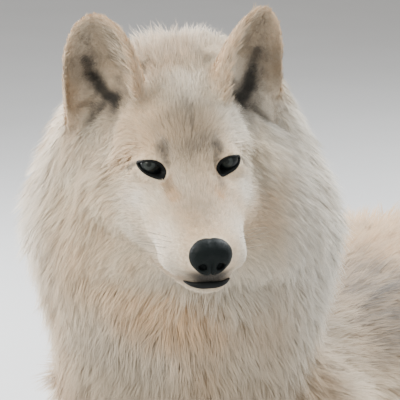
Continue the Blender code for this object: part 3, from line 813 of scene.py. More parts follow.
# %% [markdown]
# Inside an ear the canal's opening is a dark line, painted shade of its depth, with painted grey shade
# round it and below it, a pale tuft before it and a fawn fold along the outer edge. The grey inside the
# ear is partly its hair and partly painted shade. They are drawn flat, across the ear and up it.

# %% The markings of the ears
EDGE_SLOTS, EDGE_STEP = 80, 0.004  # an ear is cut in slices of this height, to find its outline


def edge_gap():
    """How far each point of an ear is from the ear's outline, at its level and above it."""
    gaps = []
    for value, along in ((ear_width, ear_up), (-ear_width, ear_up), (-ear_up, ear_width)):
        slots = np.clip(((along + 0.10) / EDGE_STEP).astype(int), 0, EDGE_SLOTS)
        edge = np.full(EDGE_SLOTS + 1, 1.0)
        np.minimum.at(edge, slots[on_ear], value[on_ear])
        gaps.append(value - edge[slots])
    return np.minimum.reduce(gaps)


in_ear = np.column_stack((ear_width, ear_up))
speckle = drifting(130, 4)
SLIT = ((-0.027, 0.026), (-0.0265, 0.004), (-0.016, -0.009), (-0.006, -0.0170), (0.009, -0.0205))
UNDER_SLIT = ((0.003, -0.021), (-0.007, -0.030), (-0.016, -0.040))
BESIDE_SLIT = ((0.009, -0.0205), (0.026, -0.0120), (0.038, -0.0050))
OUTER_FOLD = ((-0.038, 0.055), (-0.044, 0.015), (-0.040, -0.020), (-0.033, -0.055))
facing_front = ramp(ear_out, -0.064, -0.054) * ramp(faces_front, -0.10, 0.20)
# Painted shade: the dark line is the canal's depth, with grey shade round it and below it in the hollow.
slit_shade = np.maximum(0.8 * along_line(SLIT, 0.008, in_ear), along_line(SLIT[1:], 0.0105, in_ear))
slit_shade *= facing_front
shade_round_slit = along_line(SLIT, 0.024, in_ear) * facing_front * ramp(speckle, 0.30, 0.52)
beside_slit = along_line(BESIDE_SLIT, 0.008, in_ear) * facing_front
pale_tuft = blob((-0.006, 0.010), (0.013, 0.019), in_ear) * facing_front
shade_under_slit = along_line(UNDER_SLIT, 0.017, in_ear) * facing_front * np.maximum(hollow, inside)
outer_fold = along_line(OUTER_FOLD, 0.018, in_ear) * facing_front
gap = edge_gap()
rim_band = inside * (1 - ramp(gap, 0.004, 0.010))
rim_line = inside * ramp(gap, 0.006, 0.010) * ramp(gap, 0.018, 0.012) * ramp(speckle, 0.42, 0.58)
# The grey inside the ear, partly its hair and partly painted shade, also in the hollow before the canal.
inner = np.maximum(ramp(links.smoothed(inside, 6), 0.55, 0.90) * ramp(gap, 0.006, 0.012), hollow)
fringe = inside * ramp(ear_width, 0.004, 0.016) * ramp(ear_up, 0.070, 0.045)
print("points on the slits of the ears:", int((slit_shade > 0.5).sum()))

# %% [markdown]
# Now the markings are put together, tint by tint: where two of them meet, the stronger one counts.
# Noise of several sizes speckles and streaks them, because a marking on fur has no hard border.

# %% The masks of the coat's colours
streaks = drifting(1, 8, in_head * (170, 30, 30))
flank_streaks = drifting(1, 9, points * (40, 26, 110))
# Painted light: a warm tint on the wolf's right of the head and neck, where the warm key light falls.
painted_warm_light = ramp(hx, 0.03, -0.07) * head_and_neck
tan = strongest(
    on_ear * (0.26 + 0.34 * rim) * (0.6 + 0.6 * drift) * (1 - 0.5 * fringe),
    0.34 * outer_fold,
    0.50 * rim_band,
    ridge * (0.62 + 0.4 * drift),
    # fawn over the trunk, more on the flanks, where it is partly painted shade
    trunk * (0.40 + 0.40 * flank_marks_and_shade) * (0.4 + drift),
    0.72 * front * ramp(patches, 0.38, 0.64) * ramp(points[:, 2], 0.62, 0.36),
    0.70 * buff,
    0.80 * chest_side * ramp(fine_drift, 0.25, 0.65),
    # the flanks' fawn, partly painted shade
    0.80 * flank_marks_and_shade,
    legs * 0.30,
    0.95 * tear_line * ramp(speckle, 0.15, 0.55),
    0.42 * head_and_neck * ramp(patches, 0.35, 0.65) * (1 - muzzle_side) * (1 - 0.8 * under_eye),
    # painted warm light on the wolf's right of the head and the neck
    0.26 * painted_warm_light * ramp(fine_drift, 0.25, 0.7),
    # painted shadow along the mouth, fawn away from the nose
    0.80 * painted_mouth_shadow * ramp(from_nose, 0.03, 0.06),
)
grey = strongest(
    forehead * (0.44 + 0.36 * ramp(streaks, 0.36, 0.62)),
    0.95 * brow_spot * (0.7 + 0.3 * ramp(speckle, 0.35, 0.55)),
    # the groove beside each eye: a streak in the fur and painted shade
    0.75 * groove_streak_and_shade,
    # grey inside the ears, partly painted shade
    inner * (0.22 + 0.58 * ramp(speckle, 0.38, 0.62)) * (1 - 0.7 * fringe) * (1 - 0.9 * outer_fold),
    # painted shade round the ear's canal
    0.90 * shade_round_slit,
    0.60 * beside_slit,
    0.55 * rim_line,
    # painted shade below the ear's canal
    0.95 * shade_under_slit,
    0.36 * bridge * ramp(speckle, 0.35, 0.6),
    0.50 * ridge * ramp(fine_drift, 0.40, 0.65),
    # the flanks' grey, partly painted shade
    flank_marks_and_shade * (0.45 + 0.55 * ramp(fine_drift, 0.30, 0.60)),
    0.55 * chest_side * ramp(speckle, 0.50, 0.70),
    # painted shadow along the mouth
    0.60 * painted_mouth_shadow,
    0.95 * upper_lip,
    0.40 * lid_tail,
    0.36 * np.maximum(front, kind == "barrel") * ramp(fine_drift, 0.52, 0.72),
    0.42 * front * ramp(patches, 0.50, 0.30) * ramp(points[:, 2], 0.62, 0.40),
    # Painted shade: the front darkens low on the chest.
    0.34 * front * ramp(points[:, 2], 0.42, 0.32),
    # Painted shade: the front darkens on the wolf's left, away from the warm key light.
    0.20 * front * ramp(points[:, 0], 0.05, 0.12),
)
# Painted light: the outer edges of the head and the neck are whitened for the rim light on them.
painted_rim_light = np.maximum(ramp(hx, 0.078, 0.115), ramp(-hx, 0.105, 0.140)) * (on_head | on_neck)
painted_rim_light = links.smoothed(painted_rim_light.astype(float), 45)
# Painted light: a cooler, whiter tint high on the wolf's left of the head, the side of the cool fill light.
painted_cool_light = ramp(hx, 0.010, 0.050) * ramp(hz, 0.0, 0.03) * on_head
white = strongest(
    1.0 * crown,
    # painted rim light on the outer edges of the head and the neck
    0.9 * painted_rim_light,
    # painted cool light high on the wolf's left of the head
    0.55 * painted_cool_light,
    # painted highlight on the ridge beside each eye's groove
    0.90 * painted_ridge_light,
    0.75 * muzzle_side,
    0.75 * under_eye,
    0.40 * fringe,
    0.45 * rim_band,
    0.55 * outer_fold,
    0.35 * ramp(drift, 0.65, 0.35) * (1 - flank_marks_and_shade),
)
lid_line = (1 - ramp(lid_gap, 0.0008, 0.0026)) * on_head
dark = strongest(
    # the flanks' dark streaks, partly painted shade
    0.70 * flank_marks_and_shade * ramp(flank_streaks, 0.50, 0.68),
    0.95 * lid_line,
    # painted shade of the ear's canal, and below it
    0.92 * slit_shade,
    0.45 * shade_under_slit,
    0.45 * lid_tail,
    0.7 * philtrum,
    0.85 * upper_lip,
)
# The pale tuft takes grey away, and the painted rim light takes grey and fawn away.
grey *= (1 - 0.7 * pale_tuft) * (1 - 0.5 * painted_rim_light)
tan *= 1 - 0.8 * painted_rim_light
tan, grey, white = (links.smoothed(field, 3) for field in (tan, grey, white))
print("masks, mean share:", [round(float(mask.mean()), 2) for mask in (tan, grey, white, dark)])

# %% [markdown]
# Nothing grows on the nose pad, inside the lids and where the body touches the floor. Everywhere else the
# density says how many tufts grow, as a share of the most that a region has.

# %% Where the coat grows
bare_nose = blob(NOSE_PAD, (0.0250, 0.016, 0.0205), in_head, 0.95, 1.05)
density = (1 - bare_nose) * ramp(lid_gap, 0.0008, 0.0020) * ramp(points[:, 2], 0.0015, 0.006)
print("bare share of the skin:", round(float((density < 0.5).mean()), 3))

# %% [markdown]
# All of this is written to the skin as attributes, so that Geometry Nodes can read them by name.

# %% The fields as attributes
def write_field(mesh, name, values):
    vector = values.ndim == 2
    attribute = mesh.attributes.new(name, "FLOAT_VECTOR" if vector else "FLOAT", "POINT")
    attribute.data.foreach_set("vector" if vector else "value", np.ascontiguousarray(values, float).ravel())


FIELDS = {
    "lie": lie,
    "skin_normal": normals,
    "length": length * MM,
    "lift": np.radians(lift),
    "density": density,
    "tan": tan,
    "grey": grey,
    "white": white,
    "dark": dark,
}
for name, values in FIELDS.items():
    write_field(skin.data, name, values)

# %% [markdown]
# One tuft is a small mesh of a few strands that share a root and lean together, as the hairs of a
# wolf's coat do. A strand is a thin blade that tapers to a point, arched so that its tip comes back
# towards the body. It could be a round hair, but that takes three times the faces for the same look.
# A tuft is one unit long and lies along Y. Six or eight versions of each sort keep it from repeating.

# %% Tufts
def strand(bm, along, tone, patch, rng, slot, strands, spread, gather, arch, rows, wide):
    """One tapered blade. Its middle line starts beside the others and ends nearer to them."""
    share = rng.uniform(0.72, 1.0) if slot else 1.0
    start = Vector((rng.uniform(-1, 1) * spread, rng.uniform(-0.06, 0.06), -0.015))
    end_x = start.x * gather + rng.uniform(-1, 1) * spread * 0.35
    bow = rng.uniform(-1, 1) * 0.035
    rise = rng.uniform(-0.05, 0.07)
    roll = rng.uniform(-0.75, 0.75)
    across = Vector((math.cos(roll), 0, math.sin(roll)))
    strand_tone = rng.random()
    before = None
    for s in rows:
        x = start.x + (end_x - start.x) * s + bow * math.sin(math.pi * s)
        z = start.z + (rise * s + arch * 4 * s * (1 - s)) * share
        point = Vector((x, start.y + s * share, z))
        half = across * wide * 0.5 * (1 - 0.85 * s**1.6)
        ring = [bm.verts.new(point - half), bm.verts.new(point + half)] if s < 1 else [bm.verts.new(point)]
        for k, vertex in enumerate(ring):
            vertex[along] = s
            vertex[tone] = strand_tone
            vertex[patch] = Vector(((slot + 0.2 + 0.6 * k) / strands, s, 0))
        if before:
            face = (before[0], before[1], ring[1], ring[0]) if s < 1 else (before[0], before[1], ring[0])
            bm.faces.new(face)
        before = ring


def tuft_set(name, versions, strands, spread, gather, arch, rows, wide, seed):
    """A collection of versions of one sort of tuft, out of the scene, for Geometry Nodes to pick from."""
    made = bpy.data.collections.new(name)
    for version in range(versions):
        rng = np.random.default_rng(seed + version)
        bm = bmesh.new()
        along = bm.verts.layers.float.new("along")
        tone = bm.verts.layers.float.new("strand_tone")
        patch = bm.verts.layers.float_vector.new("patch")
        for slot in range(strands):
            strand(bm, along, tone, patch, rng, slot, strands, spread, gather, arch, rows, wide)
        mesh = mesh_of(f"{name}_{version}", bm)
        made.objects.link(bpy.data.objects.new(mesh.name, mesh))
    return made


SHORT = tuft_set("short", 6, 6, 0.16, 1.15, 0.06, (0, 0.55, 1), 0.048, 10)
MIDDLE = tuft_set("middle", 6, 7, 0.10, 0.85, 0.07, (0, 0.5, 1), 0.023, 20)
LOCK = tuft_set("lock", 8, 10, 0.130, 0.72, 0.09, (0, 0.5, 1), 0.0160, 40)
LONG = tuft_set("long", 6, 10, 0.070, 0.65, 0.08, (0, 0.34, 0.70, 1), 0.0115, 30)

# %% [markdown]
# A node tree is drawn by hand in Blender's editor, node by node. In a script it is shorter with a small
# class that adds a node, sets its inputs and links them, so that a tree can be read like a formula.

# %% Writing node trees
class TreeMaker:
    """A short way to write a node tree: adds nodes, sets their inputs and links them."""

    def __init__(self, tree):
        self.tree = tree

    def node(self, kind, inputs=(), **settings):
        made = self.tree.nodes.new(kind)
        for name, value in settings.items():
            setattr(made, name, value)
        for key, value in dict(inputs).items():
            self.give(made.inputs[key] if isinstance(key, int) else self.input(made, key), value)
        return made

    def give(self, socket, value):
        """Links a socket to another node's output, or sets it to a constant."""
        if isinstance(value, bpy.types.NodeSocket):
            self.tree.links.new(value, socket)
        else:
            socket.default_value = value

    @staticmethod
    def input(node, name):
        return next(socket for socket in node.inputs if socket.name == name and socket.enabled)

    @staticmethod
    def output(node, name=None):
        return next(s for s in node.outputs if s.enabled and (name is None or s.name == name))

    def named(self, name, data_type="FLOAT"):
        node = self.node("GeometryNodeInputNamedAttribute", {"Name": name}, data_type=data_type)
        return self.output(node, "Attribute")

    def math(self, operation, *values):
        return self.node("ShaderNodeMath", dict(enumerate(values)), operation=operation).outputs[0]

    def vector(self, operation, *values, scale=None):
        inputs = dict(enumerate(values)) | ({} if scale is None else {"Scale": scale})
        node = self.node("ShaderNodeVectorMath", inputs, operation=operation)
        return node.outputs["Value" if operation == "DOT_PRODUCT" else "Vector"]

    def random(self, low, high, seed, data_type="FLOAT"):
        inputs = {"Min": low, "Max": high, "Seed": seed}
        return self.output(self.node("FunctionNodeRandomValue", inputs, data_type=data_type))

    def store(self, geometry, name, value, data_type="FLOAT", domain="POINT"):
        inputs = {"Geometry": geometry, "Name": name, "Value": value}
        settings = {"data_type": data_type, "domain": domain}
        return self.node("GeometryNodeStoreNamedAttribute", inputs, **settings).outputs[0]


# %% [markdown]
# The coat is grown by one Geometry Nodes tree. It strews points over a region of the skin, turns a tuft
# at each so that it runs along the lie and stands off by the lift, scales it to the coat's length there,
# and makes the result plain mesh. Placing the tufts in a loop would give the same, but slowly, and a
# particle system is lost on export. Each tuft's UV is a tiny patch at its root's place on an unwrap of
# the skin.

# %% The tree that grows a coat
PATCH = 0.003  # of the unwrap's width
FLOOR_GAP, FLOOR_SOFTNESS = 0.0006, 0.004  # hairs bend along the floor and not through it
TUFT_SHARE, TUFT_CONTRAST = 0.6, 2.4  # of a tuft's tone, how much it shares with its neighbours
LIFT_SPREAD = 0.14  # radians
SIZE_LOW, SIZE_HIGH = 0.68, 1.14
COAT_INPUTS = (
    ("Skin", "NodeSocketGeometry", None),
    ("Tufts", "NodeSocketCollection", None),
    ("Tufts per square metre", "NodeSocketFloat", 10000.0),
    ("Closest", "NodeSocketFloat", 0.001),
    ("Disorder", "NodeSocketFloat", 0.16),
    ("Drift", "NodeSocketFloat", 0.5),
    ("Drift scale", "NodeSocketFloat", 20.0),
    ("Lock scale", "NodeSocketFloat", 85.0),
    ("Lock pull", "NodeSocketFloat", 0.55),
    ("Tone scale", "NodeSocketFloat", 250.0),
    ("Version count", "NodeSocketInt", 6),
    ("Seed", "NodeSocketInt", 0),
    ("Fur", "NodeSocketMaterial", None),
)


def coat_tree():
    tree = bpy.data.node_groups.new("Grow a coat", "GeometryNodeTree")
    for name, kind_of_socket, value in COAT_INPUTS:
        socket = tree.interface.new_socket(name, in_out="INPUT", socket_type=kind_of_socket)
        if value is not None:
            socket.default_value = value
    tree.interface.new_socket("Coat", in_out="OUTPUT", socket_type="NodeSocketGeometry")
    make = TreeMaker(tree)
    given = make.node("NodeGroupInput").outputs
    seed = given["Seed"]
    strewn = make.node(
        "GeometryNodeDistributePointsOnFaces",
        {
            "Mesh": given["Skin"],
            "Distance Min": given["Closest"],
            "Density Max": given["Tufts per square metre"],
            "Density Factor": make.named("density"),
            "Seed": seed,
        },
        distribute_method="POISSON",
    )
    shared = make.node("ShaderNodeTexNoise", {"Scale": given["Tone scale"], "Detail": 0.5}).outputs[0]
    shared = make.math("MULTIPLY_ADD", shared, TUFT_CONTRAST, (1 - TUFT_CONTRAST) / 2)
    own = make.random(0.0, 1 - TUFT_SHARE, seed)
    tone = make.math("ADD", make.math("MULTIPLY", shared, TUFT_SHARE), own)
    tone = make.math("MINIMUM", make.math("MAXIMUM", tone, 0.0), 1.0)
    roots = make.store(strewn.outputs["Points"], "tuft_tone", tone)
    normal = make.vector("NORMALIZE", make.named("skin_normal", "FLOAT_VECTOR"))

    def astray(scale, detail, amount):
        """A direction that changes slowly over the skin, to lead the lie astray by this much."""
        noise_here = make.node("ShaderNodeTexNoise", {"Scale": given[scale], "Detail": detail})
        centred = make.vector("SUBTRACT", noise_here.outputs["Color"], (0.5,) * 3)
        return make.vector("SCALE", centred, scale=given[amount])

    wander = make.vector("ADD", astray("Drift scale", 1.5, "Drift"), astray("Lock scale", 1.0, "Lock pull"))
    jitter = make.random((-1.0,) * 3, (1.0,) * 3, make.math("ADD", seed, 1.0), "FLOAT_VECTOR")
    jitter = make.vector("SCALE", jitter, scale=given["Disorder"])
    lie_here = make.vector("ADD", make.vector("ADD", make.named("lie", "FLOAT_VECTOR"), wander), jitter)
    upright = make.vector("DOT_PRODUCT", lie_here, normal)
    flat = make.vector("SUBTRACT", lie_here, make.vector("SCALE", normal, scale=upright))
    flat = make.vector("NORMALIZE", flat)
    uneven = make.random(-LIFT_SPREAD, LIFT_SPREAD, make.math("ADD", seed, 2.0))
    lift_here = make.math("ADD", make.named("lift"), uneven)
    cosine, sine = make.math("COSINE", lift_here), make.math("SINE", lift_here)
    forwards = make.vector(
        "ADD", make.vector("SCALE", flat, scale=cosine), make.vector("SCALE", normal, scale=sine)
    )
    upwards_here = make.vector(
        "SUBTRACT", make.vector("SCALE", normal, scale=cosine), make.vector("SCALE", flat, scale=sine)
    )
    rotation = make.node(
        "FunctionNodeAxesToRotation",
        {"Primary Axis": forwards, "Secondary Axis": upwards_here},
        primary_axis="Y",
        secondary_axis="Z",
    ).outputs[0]
    uneven = make.random(SIZE_LOW, SIZE_HIGH, make.math("ADD", seed, 3.0))
    size = make.math("MULTIPLY", make.named("length"), uneven)
    from_each = {"Collection": given["Tufts"], "Separate Children": True, "Reset Children": True}
    versions = make.node("GeometryNodeCollectionInfo", from_each)
    last = make.math("SUBTRACT", given["Version count"], 1.0)
    pick = make.random(0, last, make.math("ADD", seed, 4.0), "INT")
    tufts = make.node(
        "GeometryNodeInstanceOnPoints",
        {
            "Points": roots,
            "Instance": versions.outputs[0],
            "Pick Instance": True,
            "Instance Index": pick,
            "Rotation": rotation,
            "Scale": make.node("ShaderNodeCombineXYZ", {"X": size, "Y": size, "Z": size}).outputs[0],
        },
    )
    coat = make.node("GeometryNodeRealizeInstances", {"Geometry": tufts.outputs[0]}).outputs[0]
    position = make.node("GeometryNodeInputPosition").outputs[0]
    x, y, z = make.node("ShaderNodeSeparateXYZ", {0: position}).outputs
    above = make.math("SMOOTH_MAX", z, FLOOR_GAP, FLOOR_SOFTNESS)
    on_floor = make.node("ShaderNodeCombineXYZ", {"X": x, "Y": y, "Z": above}).outputs[0]
    coat = make.node("GeometryNodeSetPosition", {"Geometry": coat, "Position": on_floor}).outputs[0]
    in_patch = make.vector("SUBTRACT", make.named("patch", "FLOAT_VECTOR"), (0.5, 0.5, 0))
    in_patch = make.vector("SCALE", in_patch, scale=PATCH)
    at_root = make.vector("ADD", make.named("unwrap", "FLOAT_VECTOR"), in_patch)
    coat = make.store(coat, "OFBake", at_root, "FLOAT2", "CORNER")
    for name in ("lie", "length", "lift", "density", "patch", "unwrap"):
        coat = make.node("GeometryNodeRemoveAttribute", {"Geometry": coat, "Name": name}).outputs[0]
    coat = make.node("GeometryNodeSetMaterial", {"Geometry": coat, "Material": given["Fur"]}).outputs[0]
    make.node("NodeGroupOutput", {0: coat})
    return tree


COAT_TREE = coat_tree()
print("the coat's tree has", len(COAT_TREE.nodes), "nodes")

# %% [markdown]
# The colour of fur is a node group, because skin and coat both use it. It mixes the named tints by
# the masks on the surface. A strand is deeper in colour at its root and paler at its tip, and no two
# strands or tufts are quite the same.

# %% The tints of the coat
CREAM_TIP = (0.840, 0.735, 0.565, 1.0)
CREAM_ROOT = (0.610, 0.490, 0.340, 1.0)
WHITE_FUR = (0.860, 0.845, 0.775, 1.0)
FAWN_FUR = (0.660, 0.420, 0.212, 1.0)
GREY_FUR = (0.200, 0.172, 0.140, 1.0)
DARK_FUR = (0.016, 0.016, 0.015, 1.0)


def mix_colour(make, factor, one, two, blend="MIX"):
    node = make.node("ShaderNodeMix", data_type="RGBA", blend_type=blend)
    sockets = [socket for socket in node.inputs if socket.enabled]
    for socket, value in zip(sockets, (factor, one, two)):
        make.give(socket, value)
    return make.output(node)


def shader_attribute(make, name, output="Fac"):
    return make.node("ShaderNodeAttribute", attribute_name=name).outputs[output]


def fur_colour_group():
    tree = bpy.data.node_groups.new("Fur colour", "ShaderNodeTree")
    for name, value in (("Along", 0.5), ("Tuft tone", 0.5), ("Strand tone", 0.5)):
        tree.interface.new_socket(name, in_out="INPUT", socket_type="NodeSocketFloat").default_value = value
    tree.interface.new_socket("Colour", in_out="OUTPUT", socket_type="NodeSocketColor")
    make = TreeMaker(tree)
    along, tuft_tone, strand_tone = make.node("NodeGroupInput").outputs[:3]

    def uneven(least, by_strand, by_tuft):
        """A factor that is not the same for any two strands or tufts."""
        of_strand = make.math("MULTIPLY_ADD", strand_tone, by_strand, least)
        return make.math("MULTIPLY_ADD", tuft_tone, by_tuft, of_strand)

    tipwards = make.math("POWER", along, 0.7)
    colour = mix_colour(make, tipwards, CREAM_ROOT, CREAM_TIP)
    shares = {"white": tipwards, "tan": uneven(0.70, 0.0, 0.6), "grey": uneven(0.15, 0.8, 0.9), "dark": 1.0}
    for (name, share), tint in zip(shares.items(), (WHITE_FUR, FAWN_FUR, GREY_FUR, DARK_FUR)):
        share = make.math("MULTIPLY", shader_attribute(make, name), share)
        colour = mix_colour(make, share, colour, tint)
    light = uneven(0.68, 0.34, 0.21)
    light = make.node("ShaderNodeCombineColor", {0: light, 1: light, 2: light}).outputs[0]
    colour = mix_colour(make, 1.0, colour, light, "MULTIPLY")
    make.node("NodeGroupOutput", {0: colour})
    return tree


FUR_COLOUR = fur_colour_group()
print("the colour of fur takes", len(FUR_COLOUR.nodes), "nodes")

# %% [markdown]
# Fur is rough, with a faint sheen along its edges. The skin under it shows only between the tufts, so it
# has the same colours, streaked by noise instead of by strands. Noise on object coordinates stays in
# place on the piece.

# %% The materials of fur and skin
def noise_on(make, scale, detail=2.0):
    """Noise that stays in place on an object."""
    here = make.node("ShaderNodeTexCoord").outputs["Object"]
    return make.node("ShaderNodeTexNoise", {"Vector": here, "Scale": scale, "Detail": detail}).outputs[0]


def new_material(name, roughness, **constants):
    """A material, a maker for its nodes and its Principled shader, with the constants set on it."""
    material = bpy.data.materials.new(name)
    material.use_nodes = True
    make = TreeMaker(material.node_tree)
    shader = material.node_tree.nodes["Principled BSDF"]
    shader.inputs["Roughness"].default_value = roughness
    for key, value in constants.items():
        shader.inputs[key.replace("_", " ")].default_value = value
    return material, make, shader


def dressed(make, shader, colour, height=None, strength=0.5, distance=0.0004):
    """Gives a shader its colour and, where there is a height, a bump."""
    make.give(shader.inputs["Base Color"], colour)
    if height is not None:
        bump = make.node("ShaderNodeBump", {"Strength": strength, "Distance": distance, "Height": height})
        make.give(shader.inputs["Normal"], bump.outputs[0])


def fur_colour(make, *tones):
    """The colour group, given how far along a strand a point is, its tuft's tone and its strand's tone."""
    return make.node("ShaderNodeGroup", enumerate(tones), node_tree=FUR_COLOUR).outputs[0]


def fur_material():
    constants = {"Sheen_Weight": 0.12, "Sheen_Roughness": 0.45, "Specular_IOR_Level": 0.25}
    material, make, shader = new_material("soft fur", 0.62, **constants)
    tones = (shader_attribute(make, name) for name in ("along", "tuft_tone", "strand_tone"))
    dressed(make, shader, fur_colour(make, *tones))
    return material


def skin_material():
    """What shows between the tufts: the colour of the coat's roots, streaked like fur."""
    material, make, shader = new_material("skin under fur", 0.75, Specular_IOR_Level=0.2)
    streaks = noise_on(make, 420.0, 3.0)
    dressed(make, shader, fur_colour(make, 0.45, streaks, streaks), streaks, 0.5, 0.0008)
    return material


FUR = fur_material()
skin.data.materials.append(skin_material())
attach(skin, "root")
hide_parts(*FLESH)
print("skin replaces", len(FLESH), "nodes of flesh")

# %% [markdown]
# The coat is grown region by region, because a piece over 200,000 triangles would be thinned on
# export, and because each region suits one sort of tuft: short ones on the face and the ears, middling
# ones on the crown, the cheeks and the legs, and longer ones behind. Each region is a copy of that part
# of the skin, with an unwrap of its own.

# %% Regions
DENSE = 1.0
REGIONS = (  # name, tufts, tufts per square metre, closest, disorder, drift
    ("face_left", SHORT, 370000, 0.0007, 0.20, 0.5),
    ("face_right", SHORT, 370000, 0.0007, 0.20, 0.5),
    ("ears", SHORT, 215000, 0.0009, 0.22, 0.3),
    ("crown", MIDDLE, 400000, 0.0007, 0.24, 0.7),
    ("cheek_left", MIDDLE, 400000, 0.0007, 0.24, 0.7),
    ("cheek_right", MIDDLE, 400000, 0.0007, 0.24, 0.7),
    ("ruff_left", LOCK, 54000, 0.0016, 0.32, 1.5),
    ("ruff_right", LOCK, 54000, 0.0016, 0.32, 1.5),
    ("chest", LOCK, 50000, 0.002, 0.36, 1.9),
    ("back", LOCK, 12500, 0.004, 0.26, 1.0),
    ("hindquarters", LONG, 4500, 0.005, 0.26, 0.8),
    ("tail", LONG, 10000, 0.004, 0.24, 0.5),
    ("legs", MIDDLE, 10500, 0.0025, 0.22, 0.5),
)
CHEST_BACK = -0.30
FACE_LENGTH, CHEEK_LENGTH = 17, 40  # millimetres of coat, at most


def region_of_points():
    """The number of each point's region. Of two that claim a point, the later one has it."""
    index = {entry[0]: k for k, entry in enumerate(REGIONS)}
    region = np.full(len(points), index["back"])
    short = on_head & (length <= CHEEK_LENGTH)
    claims = {
        "hindquarters": np.isin(kind, ("rump", "thigh")),
        "tail": on_tail,
        "legs": legs,
        "chest": on_chest & (points[:, 1] < CHEST_BACK),
        "ruff": on_neck | (on_head & ~short),
        "cheek": short,
        "crown": short & (upwards > 0.5),
        "face": on_head & (length < FACE_LENGTH),
        "ears": on_ear,
    }
    for name, where in claims.items():
        left, right = (index.get(name + ending, index.get(name)) for ending in ("_left", "_right"))
        region[where] = np.where(hx[where] > 0, left, right)
    return region


region = region_of_points()
print("points in each region:", {entry[0]: int((region == k).sum()) for k, entry in enumerate(REGIONS)})

# %% [markdown]
# Real fur lets light through from strand to strand, so a coat of opaque blades looks too hard. Turning
# the blades' normals most of the way to that of the body softens it, at no cost in render time.

# %% Growing the coat
TONE_SPREAD = 0.2  # how fast the tufts' tone drifts, against how close they stand
SOFTNESS = 0.68  # 0 shades every blade by its own face, 1 by the body under it
UNWRAP_ANGLE, UNWRAP_GAP = math.radians(70), 0.004


def unwrapped(obj):
    """Gives the object's only UV map the unwrap of its own shape."""
    obj.data.uv_layers.new(name="unwrap")
    bpy.context.view_layer.objects.active = obj
    obj.select_set(True)
    bpy.ops.object.mode_set(mode="EDIT")
    bpy.ops.mesh.select_all(action="SELECT")
    bpy.ops.uv.smart_project(angle_limit=UNWRAP_ANGLE, island_margin=UNWRAP_GAP)
    bpy.ops.object.mode_set(mode="OBJECT")
    obj.select_set(False)


def region_skin(number, region, corners):
    """The part of the skin whose faces start in this region, with all of the fields."""
    chosen = corners[region[corners[:, 0]] == number]
    used, flat = np.unique(chosen, return_inverse=True)
    mesh = bpy.data.meshes.new("region")
    mesh.from_pydata(points[used].tolist(), [], flat.reshape(-1, 3).tolist())
    for name, values in FIELDS.items():
        write_field(mesh, name, values[used])
    obj = new_object("region", mesh)
    unwrapped(obj)
    return obj


def softly_shaded(mesh):
    """Turns the blades' normals towards that of the body, as light spreads through real fur."""
    body = np.empty(3 * len(mesh.vertices))
    mesh.attributes["skin_normal"].data.foreach_get("vector", body)
    mixed = unit(body.reshape(-1, 3) * SOFTNESS + read(mesh, "normal") * (1 - SOFTNESS))
    mesh.attributes.remove(mesh.attributes["skin_normal"])
    mesh.normals_split_custom_set_from_vertices(mixed.tolist())


def grown_coat(number, entry, region, corners):
    name, tufts, per_metre, closest, disorder, drift_size = entry
    base = region_skin(number, region, corners)
    growth = base.modifiers.new("Coat", "NODES")
    growth.node_group = COAT_TREE
    values = {
        "Tufts": tufts,
        "Tufts per square metre": per_metre * DENSE,
        "Closest": closest,
        "Disorder": disorder,
        "Drift": drift_size,
        "Tone scale": TONE_SPREAD / closest,
        "Version count": len(tufts.objects),
        "Seed": 100 * number,
        "Fur": FUR,
    }
    for item in COAT_TREE.interface.items_tree:
        if item.in_out == "INPUT" and item.name in values:
            growth[item.identifier] = values[item.name]
    coat = new_object("coat_" + name, evaluated(base))
    bpy.data.objects.remove(base)
    softly_shaded(coat.data)
    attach(coat, "root")
    print(coat.name, "has", triangles(coat.data), "triangles")
    return coat


skin.data.calc_loop_triangles()
corners = np.empty(3 * len(skin.data.loop_triangles), int)
skin.data.loop_triangles.foreach_get("vertices", corners)
corners = corners.reshape(-1, 3)
coats = [grown_coat(number, entry, region, corners) for number, entry in enumerate(REGIONS)]
for tufts in (SHORT, MIDDLE, LOCK, LONG):
    for version in list(tufts.objects):
        bpy.data.objects.remove(version)
    bpy.data.collections.remove(tufts)
print("coat in all:", sum(triangles(coat.data) for coat in coats), "triangles")

# %% [markdown]
# The rim of the lids is bare black skin, always wet. It is a closed band of rows round the opening. The
# outer rows lie under the fur, the crest stands a little proud, and the inner rows slope down to the
# ball and tuck in behind its surface. At the inner corner the same rows make the dark groove.

# %% The rims of the lids
skin_tree = BVHTree.FromPolygons([tuple(point) for point in points], corners.tolist())
SIDES = {"left": 1, "right": -1}
LID_MARGIN = almond(-0.0128, 0.0112, lid_corners[0, 1] + 0.0002, 0.0098, 0.0028)  # where lid meets ball
OUTER_ROWS = ((0.0028, -0.0007), (0.0016, 0.0001), (0.0008, 0.0006))  # out of the opening, over the skin
RAY_START = 0.06  # metres in front of the face
# The black of the lids and lips, and the slightly paler black of their raised wrinkles.
WET_BLACK, RAISED_BLACK = (0.003, 0.004, 0.004, 1), (0.012, 0.013, 0.013, 1)


def bridged(bm, rings):
    """Joins each closed ring of vertices to the next with a band of faces."""
    for one, two in zip(rings, rings[1:]):
        for m in range(len(one)):
            n = (m + 1) % len(one)
            bm.faces.new((one[m], one[n], two[n], two[m]))


def rounded(obj, levels):
    finer = obj.modifiers.new("Round", "SUBSURF")
    finer.levels = finer.render_levels = levels
    return apply_modifiers(obj)


def outwards(ring):
    """Unit vectors that point out of a flat outline, at each of its points."""
    along_ring = np.roll(ring, -1, axis=0) - np.roll(ring, 1, axis=0)
    return unit(np.stack((-along_ring[:, 1], along_ring[:, 0]), axis=1))


def facing_out(side):
    """The way an opening faces."""
    return Vector(turned(HEAD, np.array(LID_FACING) * (side, 1, 1)))


